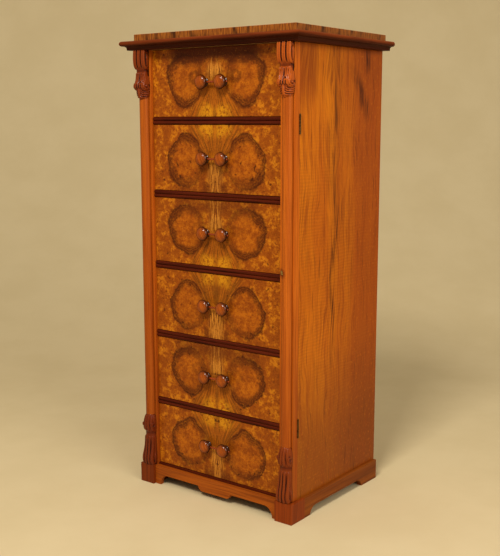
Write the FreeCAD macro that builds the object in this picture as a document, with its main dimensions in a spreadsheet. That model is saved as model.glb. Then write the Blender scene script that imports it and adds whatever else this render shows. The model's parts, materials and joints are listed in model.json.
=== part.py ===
import FreeCAD, Part
import math
import os
import Sketcher

# A six-drawer Wellington chest: a tall case whose right pilaster is a hinged flap with a lock.
# Millimetres, +Z up, front towards -Y. The origin is under the middle of the chest's box.

DRAWERS = 6
LOCK_RAIL = 3
BACK_BOARDS = 3
HINGE_KNUCKLES = 3
SIDES = {"left": -1, "right": 1}

SIZES = {
    # Case
    "case_width": 520,
    "case_depth": 417,
    "side_thick": 18,
    "stile_width": 43,
    "stile_depth": 44,
    "back_thick": 12,
    "dust_thick": 8,
    "bottom_thick": 18,
    "bottom_show": 6,
    # Drawer openings and the moulded rails between them
    "opening_height": 178,
    "rail_height": 19.5,
    # Cornice and slab
    "cornice_overhang": 38,
    "cornice_height": 25.5,
    "fillet_reach": 23,
    "fillet_height": 3,
    "cove_reach": 31,
    "cove_height": 10.5,
    "nose_root": 32.5,
    "nose_height": 13,
    "slab_overhang": 9,
    "slab_thick": 17,
    # Plinth
    "plinth_height": 56,
    "block_width": 50,
    "flap_block_extra": 5.5,
    "block_front_proud": 18,
    "block_side_proud": 10,
    "apron_thick": 12,
    "apron_proud": 9,
    "side_apron_thick": 16,
    "side_apron_proud": 9,
    "foot_length": 20,
    "foot_curve": 25,
    "arch_height": 30,
    "pendant_width": 80,
    "pendant_curve": 18,
    "pendant_rise": 16,
    "side_foot_length": 27,
    "side_foot_curve": 32,
    "rear_foot_length": 82,
    "side_arch_height": 22,
    "back_rail_rise": 14,
    "glue_block": 18,
    "glue_block_length": 60,
    # Pilasters and their carvings
    "column_radius": 15,
    "quirk_width": 2,
    "quirk_depth": 2.5,
    "carving_margin": 3.5,
    "carving_overlap": 1.5,
    "corbel_height": 131,
    "barrel_height": 49,
    "barrel_proud": 24,
    "corbel_neck_proud": 16.5,
    "leaf_proud": 25,
    "leaf_drop": 92,
    "tip_proud": 16,
    "scroll_height": 150,
    "flare_proud": 22,
    "scroll_neck_proud": 16.5,
    "scroll_neck_rise": 86,
    "volute_proud": 23,
    "volute_rise": 118,
    # Hinged flap
    "flap_thick": 22,
    "flap_gap": 1,
    "leaf_gap": 0.5,
    "hinge_inset": 195,
    "hinge_height": 50,
    "hinge_leaf_width": 22,
    "hinge_leaf_thick": 1.5,
    "knuckle_radius": 3,
    "pin_radius": 1.5,
    "pin_play": 0.05,
    "knuckle_play": 0.3,
    # Lock
    "lock_width": 28,
    "lock_depth": 10,
    "lock_height": 52,
    "lock_set": 8,
    "lock_foot": 12.5,
    "key_rise": 16.5,
    "key_inset": 9.5,
    "key_radius": 2,
    "key_slot_width": 2.2,
    "key_slot_drop": 4,
    "key_notch_play": 0.2,
    "escutcheon_width": 15,
    "escutcheon_height": 11,
    "escutcheon_thick": 1.2,
    "bolt_length": 18,
    "bolt_height": 8,
    "bolt_thick": 6,
    "bolt_set": 0.5,
    "bolt_play": 0.3,
    "bolt_throw": 8,
    "strike_thick": 1.5,
    "strike_height": 14,
    "strike_play": 1,
    # Drawers
    "drawer_recess": 8,
    "drawer_gap": 1,
    "drawer_end_room": 12,
    "front_thick": 20,
    "box_side_thick": 10,
    "box_side_room": 10,
    "box_back_thick": 10,
    "box_back_drop": 10,
    "bottom_rise": 8,
    "bottom_board_thick": 6,
    "dovetail_lap": 12,
    "guide_gap": 0.5,
    "guide_height": 22,
    "stop_width": 40,
    "stop_depth": 12,
    "stop_height": 5,
    "stop_spread": 240,
    # Drawer pulls
    "knob_spacing": 64,
    "knob_radius": 19.5,
    "knob_reach": 29,
    "rim_reach": 17.5,
    "neck_reach": 8,
    "neck_radius": 8.5,
    "collar_radius": 12,
    "spigot_radius": 6,
    "pull_rod_radius": 2.4,
    "pull_rod_reach": 12.5,
    "pull_rod_end": 16,
    # One length that every cutting shape runs past what it cuts
    "overrun": 2,
}

# How far an arc swells from its chord, as twice its height over the chord's length
QUARTER_ROUND_SHARE = math.tan(math.pi / 8)
REED_SHARE = 0.8
SOFT_SHARE = 0.25

# Heights of a drawer side's tails, as shares of its height
TAIL_SHARES = ((0.06, 0.24), (0.30, 0.48), (0.54, 0.72), (0.78, 0.94))
TAIL_FLARE_SHARE = 0.02

# Half-widths of the carvings, as shares of their full half-width
CORBEL_NECK_SHARE = 0.92
LEAF_SHARE = 0.96
LEAF_FOOT_SHARE = 0.88
LEAF_TIP_SHARE = 0.3
SCROLL_NECK_SHARE = 0.94
SCROLL_TOP_SHARE = 0.84

# Where the leaf starts to round in to its tip, as a share of the corbel's height
LEAF_FOOT_DROP_SHARE = 0.9

document = FreeCAD.newDocument("WellingtonChest")
sheet = document.addObject("Spreadsheet::Sheet", "Sizes")
for row, (alias, number) in enumerate(SIZES.items(), start=1):
    sheet.set(f"A{row}", alias)
    sheet.set(f"B{row}", str(number))
    sheet.setAlias(f"B{row}", alias)
document.recompute()


class Length:
    """A number together with the formula, in the sheet's cells, that it comes from."""

    def __init__(self, value, formula):
        self.value = value
        self.formula = formula

    def __add__(self, other):
        other = as_length(other)
        return Length(self.value + other.value, f"({self.formula} + {other.formula})")

    def __sub__(self, other):
        other = as_length(other)
        return Length(self.value - other.value, f"({self.formula} - {other.formula})")

    def __mul__(self, other):
        other = as_length(other)
        return Length(self.value * other.value, f"({self.formula} * {other.formula})")

    def __truediv__(self, other):
        other = as_length(other)
        return Length(self.value / other.value, f"({self.formula} / {other.formula})")

    def __rmul__(self, other):
        return as_length(other) * self

    def __neg__(self):
        return as_length(0) - self

    def root(self):
        return Length(math.sqrt(self.value), f"sqrt({self.formula})")


def as_length(thing):
    if isinstance(thing, Length):
        return thing
    return Length(thing, f"({thing})")


class Cells:
    """Gives each cell of the sheet as a Length, by its alias."""

    def __getattr__(self, alias):
        return Length(float(getattr(sheet, alias)), f"Sizes.{alias}")


size = Cells()

# Planes and levels that the pieces share
half_width = size.case_width / 2
front = (size.cornice_overhang - size.case_depth) / 2
rear = (size.cornice_overhang + size.case_depth) / 2
opening_half = half_width - size.stile_width
stile_back = front + size.stile_depth
inside_half = half_width - size.side_thick
back_face = rear - size.back_thick
apron_back = front - size.apron_proud + size.apron_thick
block_inner = half_width + size.block_side_proud - size.block_width
flap_block_inner = block_inner - size.flap_block_extra
drawer_pitch = size.opening_height + size.rail_height
lowest_floor = size.plinth_height + size.bottom_show
eaves = lowest_floor + DRAWERS * size.opening_height + (DRAWERS - 1) * size.rail_height
carving_inner = opening_half + size.carving_margin
carving_outer = half_width + size.carving_overlap
carving_width = carving_outer - carving_inner
column_place = (carving_inner + carving_outer) / 2
drawer_front = front + size.drawer_recess
drawer_end = back_face - size.drawer_end_room
drawer_half = opening_half - size.drawer_gap
box_side_height = size.opening_height - size.box_side_room
flap_edge = opening_half + size.flap_gap
flap_bottom = size.plinth_height + size.flap_gap
flap_top = eaves - size.flap_gap


def drawer_floor(number):
    return lowest_floor + (DRAWERS - number) * drawer_pitch


def bind(thing, path, length):
    length = as_length(length)
    thing.setExpression(path, length.formula)


def place(thing, corner):
    for letter, length in zip("xyz", corner):
        bind(thing, f"Placement.Base.{letter}", length)


def make_box(name, extent, corner):
    thing = document.addObject("Part::Box", name)
    for path, length in zip(("Length", "Width", "Height"), extent):
        bind(thing, path, length)
    place(thing, corner)
    return thing


def make_cylinder(name, radius, height, corner, turn=FreeCAD.Rotation(), angle=360):
    thing = document.addObject("Part::Cylinder", name)
    thing.Angle = angle
    thing.Placement = FreeCAD.Placement(FreeCAD.Vector(), turn)
    bind(thing, "Radius", radius)
    bind(thing, "Height", height)
    place(thing, corner)
    return thing


TOWARDS_X = FreeCAD.Rotation(FreeCAD.Vector(0, 1, 0), 90)
TOWARDS_Y = FreeCAD.Rotation(FreeCAD.Vector(1, 0, 0), -90)
HALF_TURN = FreeCAD.Rotation(FreeCAD.Vector(0, 0, 1), 180)
HALF_CIRCLE = 180


def arc_between(start, end, swell):
    """The arc from start to end, and whether its own direction runs from start to end."""
    along = end - start
    leftwards = FreeCAD.Vector(-along.y, along.x, 0).normalize()
    radius = along.Length * (1 + swell * swell) / (4 * abs(swell))
    rise = abs(swell) * along.Length / 2
    side = 1 if swell > 0 else -1
    centre = (start + end) / 2 + leftwards * side * (radius - rise)
    first, last = (start, end) if swell > 0 else (end, start)
    angles = [math.atan2(point.y - centre.y, point.x - centre.x) for point in (first, last)]
    circle = Part.Circle(centre, FreeCAD.Vector(0, 0, 1), radius)
    return Part.ArcOfCircle(circle, angles[0], angles[1]), swell > 0


def draw_outline(body, role, corners):
    """A closed sketch on one of the body's own planes; a third value in a corner is the
    swell of the arc that leads to it."""
    plane = next(plane for plane in body.Origin.OriginFeatures if plane.Role == role)
    sketch = body.newObject("Sketcher::SketchObject", body.Name + "_outline")
    sketch.AttachmentSupport = [(plane, "")]
    sketch.MapMode = "FlatFace"
    places = [(as_length(corner[0]), as_length(corner[1])) for corner in corners]
    points = [FreeCAD.Vector(across.value, up.value, 0) for across, up in places]
    ends = []
    for index, corner in enumerate(corners):
        start, end = points[index - 1], points[index]
        if len(corner) == 3:
            curve, forward = arc_between(start, end, corner[2])
        else:
            curve, forward = Part.LineSegment(start, end), True
        geometry = sketch.addGeometry(curve, False)
        ends.append((geometry, 1, 2) if forward else (geometry, 2, 1))
    for index, (geometry, first, last) in enumerate(ends):
        following, following_first, _ = ends[(index + 1) % len(ends)]
        sketch.addConstraint(Sketcher.Constraint("Coincident", geometry, last, following, following_first))
        for kind, length in zip(("DistanceX", "DistanceY"), places[index]):
            number = sketch.addConstraint(Sketcher.Constraint(kind, -1, 1, geometry, last, length.value))
            sketch.setExpression(f"Constraints[{number}]", length.formula)
        if len(corners[index]) == 3:
            swell = abs(corners[index][2])
            across = places[index][0] - places[index - 1][0]
            up = places[index][1] - places[index - 1][1]
            radius = (across * across + up * up).root() * ((1 + swell * swell) / (4 * swell))
            number = sketch.addConstraint(Sketcher.Constraint("Radius", geometry, radius.value))
            sketch.setExpression(f"Constraints[{number}]", radius.formula)
    return sketch


def make_prism(name, role, corners, thickness, middle):
    """An outline padded by its thickness, half to each side of the middle."""
    body = document.addObject("PartDesign::Body", name)
    sketch = draw_outline(body, role, corners)
    pad = body.newObject("PartDesign::Pad", name + "_pad")
    pad.Profile = sketch
    pad.SideType = "Symmetric"
    bind(pad, "Length", thickness)
    body.Tip = pad
    place(body, middle)
    return body


def make_turning(name, corners, middle):
    """An outline on the XY plane turned about its own Y axis."""
    body = document.addObject("PartDesign::Body", name)
    sketch = draw_outline(body, "XY_Plane", corners)
    turning = body.newObject("PartDesign::Revolution", name + "_turning")
    turning.Profile = sketch
    turning.ReferenceAxis = (sketch, ["V_Axis"])
    turning.Angle = 360
    body.Tip = turning
    place(body, middle)
    return body


def make_group(name, members):
    thing = document.addObject("Part::Compound", name)
    thing.Links = members
    return thing


def make_cut(name, base, tools):
    thing = document.addObject("Part::Cut", name)
    thing.Base = base
    thing.Tool = tools[0] if len(tools) == 1 else make_group(name + "_tools", tools)
    return thing


def make_common(name, first, second):
    thing = document.addObject("Part::Common", name)
    thing.Base = first
    thing.Tool = second
    return thing


def make_fuse(name, members):
    thing = document.addObject("Part::MultiFuse", name)
    thing.Shapes = members
    return thing


nodes = []


def keep(thing, label):
    thing.Label = label
    nodes.append(thing)
    return thing


def build_case():
    height = eaves - size.plinth_height
    depth = rear - stile_back
    for side, sign in SIDES.items():
        edge = inside_half if sign > 0 else -half_width
        corner = (edge, stile_back, size.plinth_height)
        panel = make_box(side + "_panel", (size.side_thick, depth, height), corner)
        keep(panel, side + "_side_panel")

    board_width = inside_half * 2 / BACK_BOARDS
    boards = []
    for index in range(BACK_BOARDS):
        corner = (board_width * index - inside_half, back_face, size.plinth_height)
        boards.append(make_box(f"back_{index}", (board_width, size.back_thick, height), corner))
    keep(make_group("back", boards), "back_boards")

    floor_bottom = lowest_floor - size.bottom_thick
    extent = (inside_half * 2, back_face - stile_back, size.bottom_thick)
    keep(make_box("floor", extent, (-inside_half, stile_back, floor_bottom)), "bottom_board")
    extent = (opening_half * 2, stile_back - apron_back, size.bottom_thick)
    rail = make_box("floor_rail", extent, (-opening_half, apron_back, floor_bottom))
    keep(make_cut("notched_rail", rail, [flap_block("rail_notch")]), "bottom_rail")

    extent = (size.case_width, size.case_depth, size.cornice_height)
    keep(make_box("lid", extent, (-half_width, front, eaves)), "case_top")
    extent = (size.case_width + size.slab_overhang * 2, size.case_depth + size.slab_overhang, size.slab_thick)
    corner = (-half_width - size.slab_overhang, front - size.slab_overhang, eaves + size.cornice_height)
    keep(make_box("slab", extent, corner), "top_slab")


def cornice_corners(sign):
    """The moulding's section: outwards in the sign's direction, and up from the eaves."""
    nose_middle = size.cove_height + size.nose_height / 2
    nose_top = size.cove_height + size.nose_height
    inward = -sign * QUARTER_ROUND_SHARE
    outward = sign * QUARTER_ROUND_SHARE
    return [
        (0, 0),
        (size.fillet_reach * sign, 0),
        (size.fillet_reach * sign, size.fillet_height),
        (size.cove_reach * sign, size.cove_height, inward),
        (size.nose_root * sign, size.cove_height),
        (size.cornice_overhang * sign, nose_middle, outward),
        (size.nose_root * sign, nose_top, outward),
        (0, size.cornice_height),
    ]


def build_cornice():
    reach = half_width + size.cornice_overhang
    nose = front - size.cornice_overhang
    cutter_middle = (0, 0, eaves + size.cornice_height / 2)
    moulding = make_prism("front_moulding", "YZ_Plane", cornice_corners(-1), reach * 2, (0, front, eaves))
    plan = [(-half_width, front), (-reach, nose), (reach, nose), (half_width, front)]
    cutter = make_prism("front_mitres", "XY_Plane", plan, size.cornice_height, cutter_middle)
    keep(make_common("front_cornice", moulding, cutter), "cornice_front")
    for side, sign in SIDES.items():
        middle = (half_width * sign, (nose + rear) / 2, eaves)
        moulding = make_prism(side + "_moulding", "XZ_Plane", cornice_corners(sign), rear - nose, middle)
        inner, outer = half_width * sign, reach * sign
        plan = [(inner, front), (outer, nose), (outer, rear), (inner, rear)]
        cutter = make_prism(side + "_mitre", "XY_Plane", plan, size.cornice_height, cutter_middle)
        keep(make_common(side + "_cornice", moulding, cutter), "cornice_" + side)


def build_rails():
    """The moulded rails, the dust boards behind them, and each drawer's guides and stops."""
    face = size.drawer_recess
    corners = [
        (size.stile_depth, 0),
        (size.stile_depth, size.rail_height),
        (face, size.rail_height),
        (face, size.rail_height / 2, REED_SHARE),
        (face, 0, REED_SHARE),
    ]
    rails, dust_boards, guides, stops = [], [], [], []
    for number in range(1, DRAWERS + 1):
        floor = drawer_floor(number)
        if number < DRAWERS:
            middle = (0, front, floor - size.rail_height)
            rail = make_prism(f"rail_{number}", "YZ_Plane", corners, opening_half * 2, middle)
            rails.append(cut_for_bolt(rail) if number == LOCK_RAIL else rail)
            extent = (inside_half * 2, back_face - stile_back, size.dust_thick)
            corner = (-inside_half, stile_back, floor - size.dust_thick)
            dust_boards.append(make_box(f"dust_{number}", extent, corner))
        guide_edge = drawer_half + size.guide_gap
        for side, sign in SIDES.items():
            extent = (inside_half - guide_edge, back_face - stile_back, size.guide_height)
            edge = guide_edge if sign > 0 else -inside_half
            guides.append(make_box(f"guide_{number}_{side}", extent, (edge, stile_back, floor)))
            extent = (size.stop_width, size.stop_depth, size.stop_height)
            edge = size.stop_spread / 2 * sign - size.stop_width / 2
            corner = (edge, drawer_front + size.front_thick, floor)
            stops.append(make_box(f"stop_{number}_{side}", extent, corner))
    keep(make_group("rails", rails), "drawer_rails")
    keep(make_group("dust", dust_boards), "dust_boards")
    keep(make_group("guides", guides), "drawer_guides")
    keep(make_group("stops", stops), "drawer_stops")


# The lock's planes: the bolt shoots towards -X into the end of one rail
bolt_level = drawer_floor(LOCK_RAIL) - size.rail_height / 2
bolt_middle = front + size.lock_set + size.lock_depth / 2
key_level = bolt_level + size.key_rise
key_place = flap_edge + size.key_inset


def bolt_box(name, start, length, play):
    """A box along the bolt's line, wider than the bolt all round by the play."""
    extent = (length, size.bolt_thick + play * 2, size.bolt_height + play * 2)
    corner = (start, bolt_middle - size.bolt_thick / 2 - play, bolt_level - size.bolt_height / 2 - play)
    return make_box(name, extent, corner)


def strike_blank(name):
    depth = size.bolt_thick + size.strike_play * 2
    extent = (size.strike_thick, depth, size.strike_height)
    corner = (opening_half - size.strike_thick, bolt_middle - depth / 2, bolt_level - size.strike_height / 2)
    return make_box(name, extent, corner)


def cut_for_bolt(rail):
    depth = size.bolt_throw + size.strike_thick
    mortise = bolt_box("bolt_mortise", opening_half - depth, depth + size.overrun, size.bolt_play)
    return make_cut("lock_rail", rail, [strike_blank("strike_seat"), mortise])


def corner_block(name, edge, width):
    depth = size.block_front_proud + size.stile_depth
    return make_box(name, (width, depth, size.plinth_height), (edge, front - size.block_front_proud, 0))


def flap_block(name):
    """The block under the flap, wider than the one on the left."""
    return corner_block(name, flap_block_inner, size.block_width + size.flap_block_extra)


def build_plinth():
    left_block = corner_block("left_block", -block_inner - size.block_width, size.block_width)
    keep(make_group("blocks", [left_block, flap_block("right_block")]), "plinth_blocks")

    foot = block_inner - size.foot_length
    arch = foot - size.foot_curve
    drop = size.pendant_width / 2
    shoulder = drop + size.pendant_curve
    corners = [
        (-block_inner, size.plinth_height),
        (-block_inner, 0),
        (-foot, 0),
        (-arch, size.arch_height, -QUARTER_ROUND_SHARE),
        (-shoulder, size.arch_height),
        (-drop, size.pendant_rise, QUARTER_ROUND_SHARE),
        (drop, size.pendant_rise),
        (shoulder, size.arch_height, QUARTER_ROUND_SHARE),
        (arch, size.arch_height),
        (foot, 0, -QUARTER_ROUND_SHARE),
        (flap_block_inner, 0),
        (flap_block_inner, size.plinth_height),
    ]
    middle = (0, apron_back - size.apron_thick / 2, 0)
    keep(make_prism("apron", "XZ_Plane", corners, size.apron_thick, middle), "front_apron")

    front_arch = size.side_foot_length + size.side_foot_curve
    length = rear - stile_back
    rear_foot = length - size.rear_foot_length
    rear_arch = rear_foot - size.side_foot_curve
    corners = [
        (0, size.plinth_height),
        (0, 0),
        (size.side_foot_length, 0),
        (front_arch, size.side_arch_height, -QUARTER_ROUND_SHARE),
        (rear_arch, size.side_arch_height),
        (rear_foot, 0, -QUARTER_ROUND_SHARE),
        (length, 0),
        (length, size.plinth_height),
    ]
    outer = half_width + size.side_apron_proud
    inner = outer - size.side_apron_thick
    for side, sign in SIDES.items():
        middle = ((outer - size.side_apron_thick / 2) * sign, stile_back, 0)
        apron = make_prism(side + "_skirt", "YZ_Plane", corners, size.side_apron_thick, middle)
        keep(apron, side + "_apron")

    extent = (inner * 2, size.back_thick, size.plinth_height - size.back_rail_rise)
    keep(make_box("back_skirt", extent, (-inner, back_face, size.back_rail_rise)), "back_plinth_rail")

    block_bottom = lowest_floor - size.bottom_thick - size.glue_block
    across = (size.glue_block, size.glue_block_length, size.glue_block)
    along = (size.glue_block_length, size.glue_block, size.glue_block)
    blocks = []
    for side, sign in SIDES.items():
        edge = inner - size.glue_block if sign > 0 else -inner
        near_end = stile_back + size.side_foot_length
        far_end = back_face - size.glue_block_length
        blocks.append(make_box(side + "_near_glue", across, (edge, near_end, block_bottom)))
        blocks.append(make_box(side + "_far_glue", across, (edge, far_end, block_bottom)))
        edge = shoulder * sign - size.glue_block_length / 2
        blocks.append(make_box(side + "_front_glue", along, (edge, apron_back, block_bottom)))
    keep(make_group("glue", blocks), "glue_blocks")


def build_corbel(name, sign, top, column):
    """A reeded scroll over a leaf that tapers down the column: side outline and front outline."""
    width = carving_width / 2
    barrel_middle = -size.barrel_height / 2
    fall = -size.corbel_height
    side = [
        (0, 0),
        (-size.corbel_neck_proud, 0),
        (-size.barrel_proud, barrel_middle, QUARTER_ROUND_SHARE),
        (-size.corbel_neck_proud, -size.barrel_height, QUARTER_ROUND_SHARE),
        (-size.leaf_proud, -size.leaf_drop, -SOFT_SHARE),
        (-size.tip_proud, fall, SOFT_SHARE),
        (0, fall),
    ]
    neck = width * CORBEL_NECK_SHARE
    leaf = width * LEAF_SHARE
    foot = width * LEAF_FOOT_SHARE
    foot_fall = fall * LEAF_FOOT_DROP_SHARE
    tip = width * LEAF_TIP_SHARE
    face = [
        (-width, 0),
        (-width, barrel_middle),
        (-neck, -size.barrel_height),
        (-leaf, -size.leaf_drop),
        (-foot, foot_fall),
        (-tip, fall, SOFT_SHARE),
        (tip, fall),
        (foot, foot_fall, SOFT_SHARE),
        (leaf, -size.leaf_drop),
        (neck, -size.barrel_height),
        (width, barrel_middle),
        (width, 0),
    ]
    middle = (column_place * sign, front, top)
    depth = size.leaf_proud * 2 + size.overrun
    side_blank = make_prism(name + "_side", "YZ_Plane", side, carving_width + size.overrun, middle)
    face_blank = make_prism(name + "_face", "XZ_Plane", face, depth, middle)
    return make_cut(name, make_common(name + "_blank", side_blank, face_blank), [column])


def build_scroll(name, sign, bottom):
    """A volute over a fluted flare that stands on the plinth block."""
    width = carving_width / 2
    rise = size.scroll_height
    top_proud = size.column_radius
    side = [
        (0, 0),
        (-size.flare_proud, 0),
        (-size.scroll_neck_proud, size.scroll_neck_rise, -SOFT_SHARE),
        (-size.volute_proud, size.volute_rise, -QUARTER_ROUND_SHARE),
        (-top_proud, rise, -QUARTER_ROUND_SHARE),
        (0, rise),
    ]
    neck = width * SCROLL_NECK_SHARE
    top = width * SCROLL_TOP_SHARE
    face = [
        (width, 0),
        (neck, size.scroll_neck_rise),
        (width, size.volute_rise),
        (top, rise),
        (-top, rise),
        (-width, size.volute_rise),
        (-neck, size.scroll_neck_rise),
        (-width, 0),
    ]
    middle = (column_place * sign, front, bottom)
    depth = size.volute_proud * 2 + size.overrun
    side_blank = make_prism(name + "_side", "YZ_Plane", side, carving_width + size.overrun, middle)
    face_blank = make_prism(name + "_face", "XZ_Plane", face, depth, middle)
    return make_common(name, side_blank, face_blank)


def build_column(name, sign, bottom, top):
    """The half-round column between the two carvings of a pilaster."""
    start = bottom + size.scroll_height
    height = top - size.barrel_height - start
    foot = (column_place * sign, front, start)
    return make_cylinder(name, size.column_radius, height, foot, HALF_TURN, HALF_CIRCLE)


def quirk_tools(name, sign):
    """The two narrow grooves that part a column from the flat of its stile."""
    depth = size.quirk_depth + size.overrun
    extent = (size.quirk_width, depth, eaves - size.plinth_height)
    axis = column_place * sign
    start = front - size.overrun
    tools = []
    edges = {"left": axis - size.column_radius - size.quirk_width, "right": axis + size.column_radius}
    for side, edge in edges.items():
        tools.append(make_box(f"{name}_{side}", extent, (edge, start, size.plinth_height)))
    return tools


def build_left_pilaster():
    height = eaves - size.plinth_height
    extent = (size.stile_width, size.stile_depth, height)
    post = make_box("fixed_post", extent, (-half_width, front, size.plinth_height))
    keep(make_cut("fixed_stile", post, quirk_tools("fixed_quirk", -1)), "left_stile")
    column = build_column("fixed_column", -1, size.plinth_height, eaves)
    keep(column, "left_column")
    keep(build_corbel("fixed_corbel", -1, eaves, column), "left_corbel")
    keep(build_scroll("fixed_scroll", -1, size.plinth_height), "left_base_scroll")


# The hinges' axis runs up the seam between the flap and the lock stile, in the side's plane
hinge_axis = front + size.flap_thick + size.leaf_gap / 2


def build_hinges():
    """Two butt hinges: the case leaf has the end knuckles, the flap leaf the middle one."""
    lower = flap_bottom + size.hinge_inset
    upper = flap_top - size.hinge_inset
    knuckle = size.hinge_height / HINGE_KNUCKLES
    bore_radius = size.pin_radius + size.pin_play
    clear_radius = size.knuckle_radius + size.knuckle_play
    case_leaves, flap_leaves, pins, clear_rounds = [], [], [], []
    for name, level in (("lower", lower), ("upper", upper)):
        bottom = level - size.hinge_height / 2
        axis = (half_width, hinge_axis, bottom)
        middle = (half_width, hinge_axis, bottom + knuckle)
        last = (half_width, hinge_axis, bottom + knuckle * 2)
        leaf_extent = (size.hinge_leaf_width, size.hinge_leaf_thick, size.hinge_height)
        leaf_edge = half_width - size.hinge_leaf_width
        case_face = front + size.flap_thick + size.leaf_gap
        flap_face = front + size.flap_thick - size.hinge_leaf_thick

        plate = make_box(name + "_case_plate", leaf_extent, (leaf_edge, case_face, bottom))
        gap_start = bottom + knuckle - size.knuckle_play
        gap_height = knuckle + size.knuckle_play * 2
        gap = make_cylinder(name + "_case_gap", clear_radius, gap_height, (half_width, hinge_axis, gap_start))
        ends = [
            make_cylinder(name + "_case_foot", size.knuckle_radius, knuckle - size.knuckle_play, axis),
            make_cylinder(
                name + "_case_head",
                size.knuckle_radius,
                knuckle - size.knuckle_play,
                (half_width, hinge_axis, bottom + knuckle * 2 + size.knuckle_play),
            ),
        ]
        blank = make_fuse(name + "_case_blank", [make_cut(name + "_case_leaf_cut", plate, [gap])] + ends)
        bore = make_cylinder(name + "_case_bore", bore_radius, size.hinge_height, axis)
        case_leaves.append(make_cut(name + "_case_hinge", blank, [bore]))

        plate = make_box(name + "_flap_plate", leaf_extent, (leaf_edge, flap_face, bottom))
        gaps = [
            make_cylinder(name + "_flap_foot_gap", clear_radius, knuckle, axis),
            make_cylinder(name + "_flap_head_gap", clear_radius, knuckle, last),
        ]
        round_end = make_cylinder(name + "_flap_round", size.knuckle_radius, knuckle, middle)
        blank = make_fuse(name + "_flap_blank", [make_cut(name + "_flap_leaf_cut", plate, gaps), round_end])
        bore = make_cylinder(name + "_flap_bore", bore_radius, size.hinge_height, axis)
        flap_leaves.append(make_cut(name + "_flap_hinge", blank, [bore]))

        pins.append(make_cylinder(name + "_pin", size.pin_radius, size.hinge_height, axis))
        clear_start = (half_width, hinge_axis, bottom - size.knuckle_play)
        clear_height = size.hinge_height + size.knuckle_play * 2
        clear_rounds.append(make_cylinder(name + "_clear", clear_radius, clear_height, clear_start))
    keep(make_group("case_hinges", case_leaves), "hinge_case_leaves")
    keep(make_group("flap_hinges", flap_leaves), "hinge_flap_leaves")
    keep(make_group("hinge_rods", pins), "hinge_pins")
    return case_leaves, flap_leaves, clear_rounds


def build_lock():
    """The lock in the flap's edge, its bolt, the plate round the key's hole, and the strike."""
    corner = (flap_edge, front + size.lock_set, bolt_level - size.lock_foot)
    body = make_box("lock_body", (size.lock_width, size.lock_depth, size.lock_height), corner)
    channel_length = size.bolt_set + size.bolt_length + size.bolt_play + size.overrun
    channel = bolt_box("bolt_channel", flap_edge - size.overrun, channel_length, size.bolt_play)
    keep(make_cut("lock_shell", body, [channel]), "lock_case")
    keep(bolt_box("bolt", flap_edge + size.bolt_set, size.bolt_length, 0), "lock_bolt")

    plate_corner = (
        key_place - size.escutcheon_width / 2,
        front - size.escutcheon_thick,
        key_level - size.escutcheon_height / 2,
    )
    plate_extent = (size.escutcheon_width, size.escutcheon_thick, size.escutcheon_height)
    plate = make_box("escutcheon_plate", plate_extent, plate_corner)
    tunnel_start = front - size.escutcheon_thick - size.overrun
    tunnel_length = size.escutcheon_thick + size.overrun + size.lock_set
    round_hole = make_cylinder(
        "key_round", size.key_radius, tunnel_length, (key_place, tunnel_start, key_level), TOWARDS_Y
    )
    slot_extent = (size.key_slot_width, tunnel_length, size.key_slot_drop)
    slot_corner = (key_place - size.key_slot_width / 2, tunnel_start, key_level - size.key_slot_drop)
    key_way = make_fuse("key_way", [round_hole, make_box("key_slot", slot_extent, slot_corner)])
    keep(make_cut("escutcheon_cut", plate, [key_way]), "escutcheon")

    strike = strike_blank("strike_blank")
    window_start = opening_half - size.strike_thick - size.overrun
    window_length = size.strike_thick + size.overrun * 2
    window = bolt_box("strike_window", window_start, window_length, size.bolt_play)
    keep(make_cut("strike", strike, [window]), "strike_plate")
    return body, key_way


def build_flap():
    """The right pilaster, which swings on its hinges and covers the lock stile."""
    case_leaves, flap_leaves, clear_rounds = build_hinges()
    lock_body, key_way = build_lock()

    stile_face = front + size.flap_thick + size.leaf_gap
    extent = (size.stile_width, stile_back - stile_face, eaves - size.plinth_height)
    post = make_box("lock_post", extent, (opening_half, stile_face, size.plinth_height))
    keep(make_cut("lock_stile_cut", post, case_leaves + clear_rounds), "lock_stile")

    extent = (half_width - flap_edge, size.flap_thick, flap_top - flap_bottom)
    leaf = make_box("flap_leaf", extent, (flap_edge, front, flap_bottom))
    tools = flap_leaves + clear_rounds + [lock_body, key_way] + quirk_tools("flap_quirk", 1)
    keep(make_cut("flap_stile_cut", leaf, tools), "flap_stile")

    column = build_column("flap_round", 1, flap_bottom, flap_top)
    notch_start = front - size.column_radius - size.overrun
    across, up = size.escutcheon_width, size.escutcheon_height
    notch = make_cylinder(
        "key_notch",
        (across * across + up * up).root() / 2 + size.key_notch_play,
        size.column_radius + size.overrun,
        (key_place, notch_start, key_level),
        TOWARDS_Y,
    )
    keep(make_cut("flap_column_cut", column, [notch]), "flap_column")
    keep(build_corbel("swinging_corbel", 1, flap_top, column), "flap_corbel")
    keep(build_scroll("swinging_scroll", 1, flap_bottom), "flap_base_scroll")


def drawer_side_corners():
    """A drawer side with its tails at the front end, lapped into the drawer front."""
    start = size.front_thick
    tip = size.front_thick - size.dovetail_lap
    length = drawer_end - drawer_front
    height = box_side_height
    corners = [(length, 0), (length, height), (start, height)]
    for low_share, high_share in reversed(TAIL_SHARES):
        corners += [
            (start, height * (high_share - TAIL_FLARE_SHARE)),
            (tip, height * high_share),
            (tip, height * low_share),
            (start, height * (low_share + TAIL_FLARE_SHARE)),
        ]
    return corners + [(start, 0)]


def knob_corners():
    """A turned knob: spigot, collar, hollow neck and domed head, out towards -Y."""
    return [
        (0, size.front_thick),
        (0, -size.knob_reach),
        (size.knob_radius, -size.rim_reach, QUARTER_ROUND_SHARE),
        (size.neck_radius, -size.neck_reach, SOFT_SHARE),
        (size.collar_radius, 0, -SOFT_SHARE),
        (size.spigot_radius, 0),
        (size.spigot_radius, size.front_thick),
    ]


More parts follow.
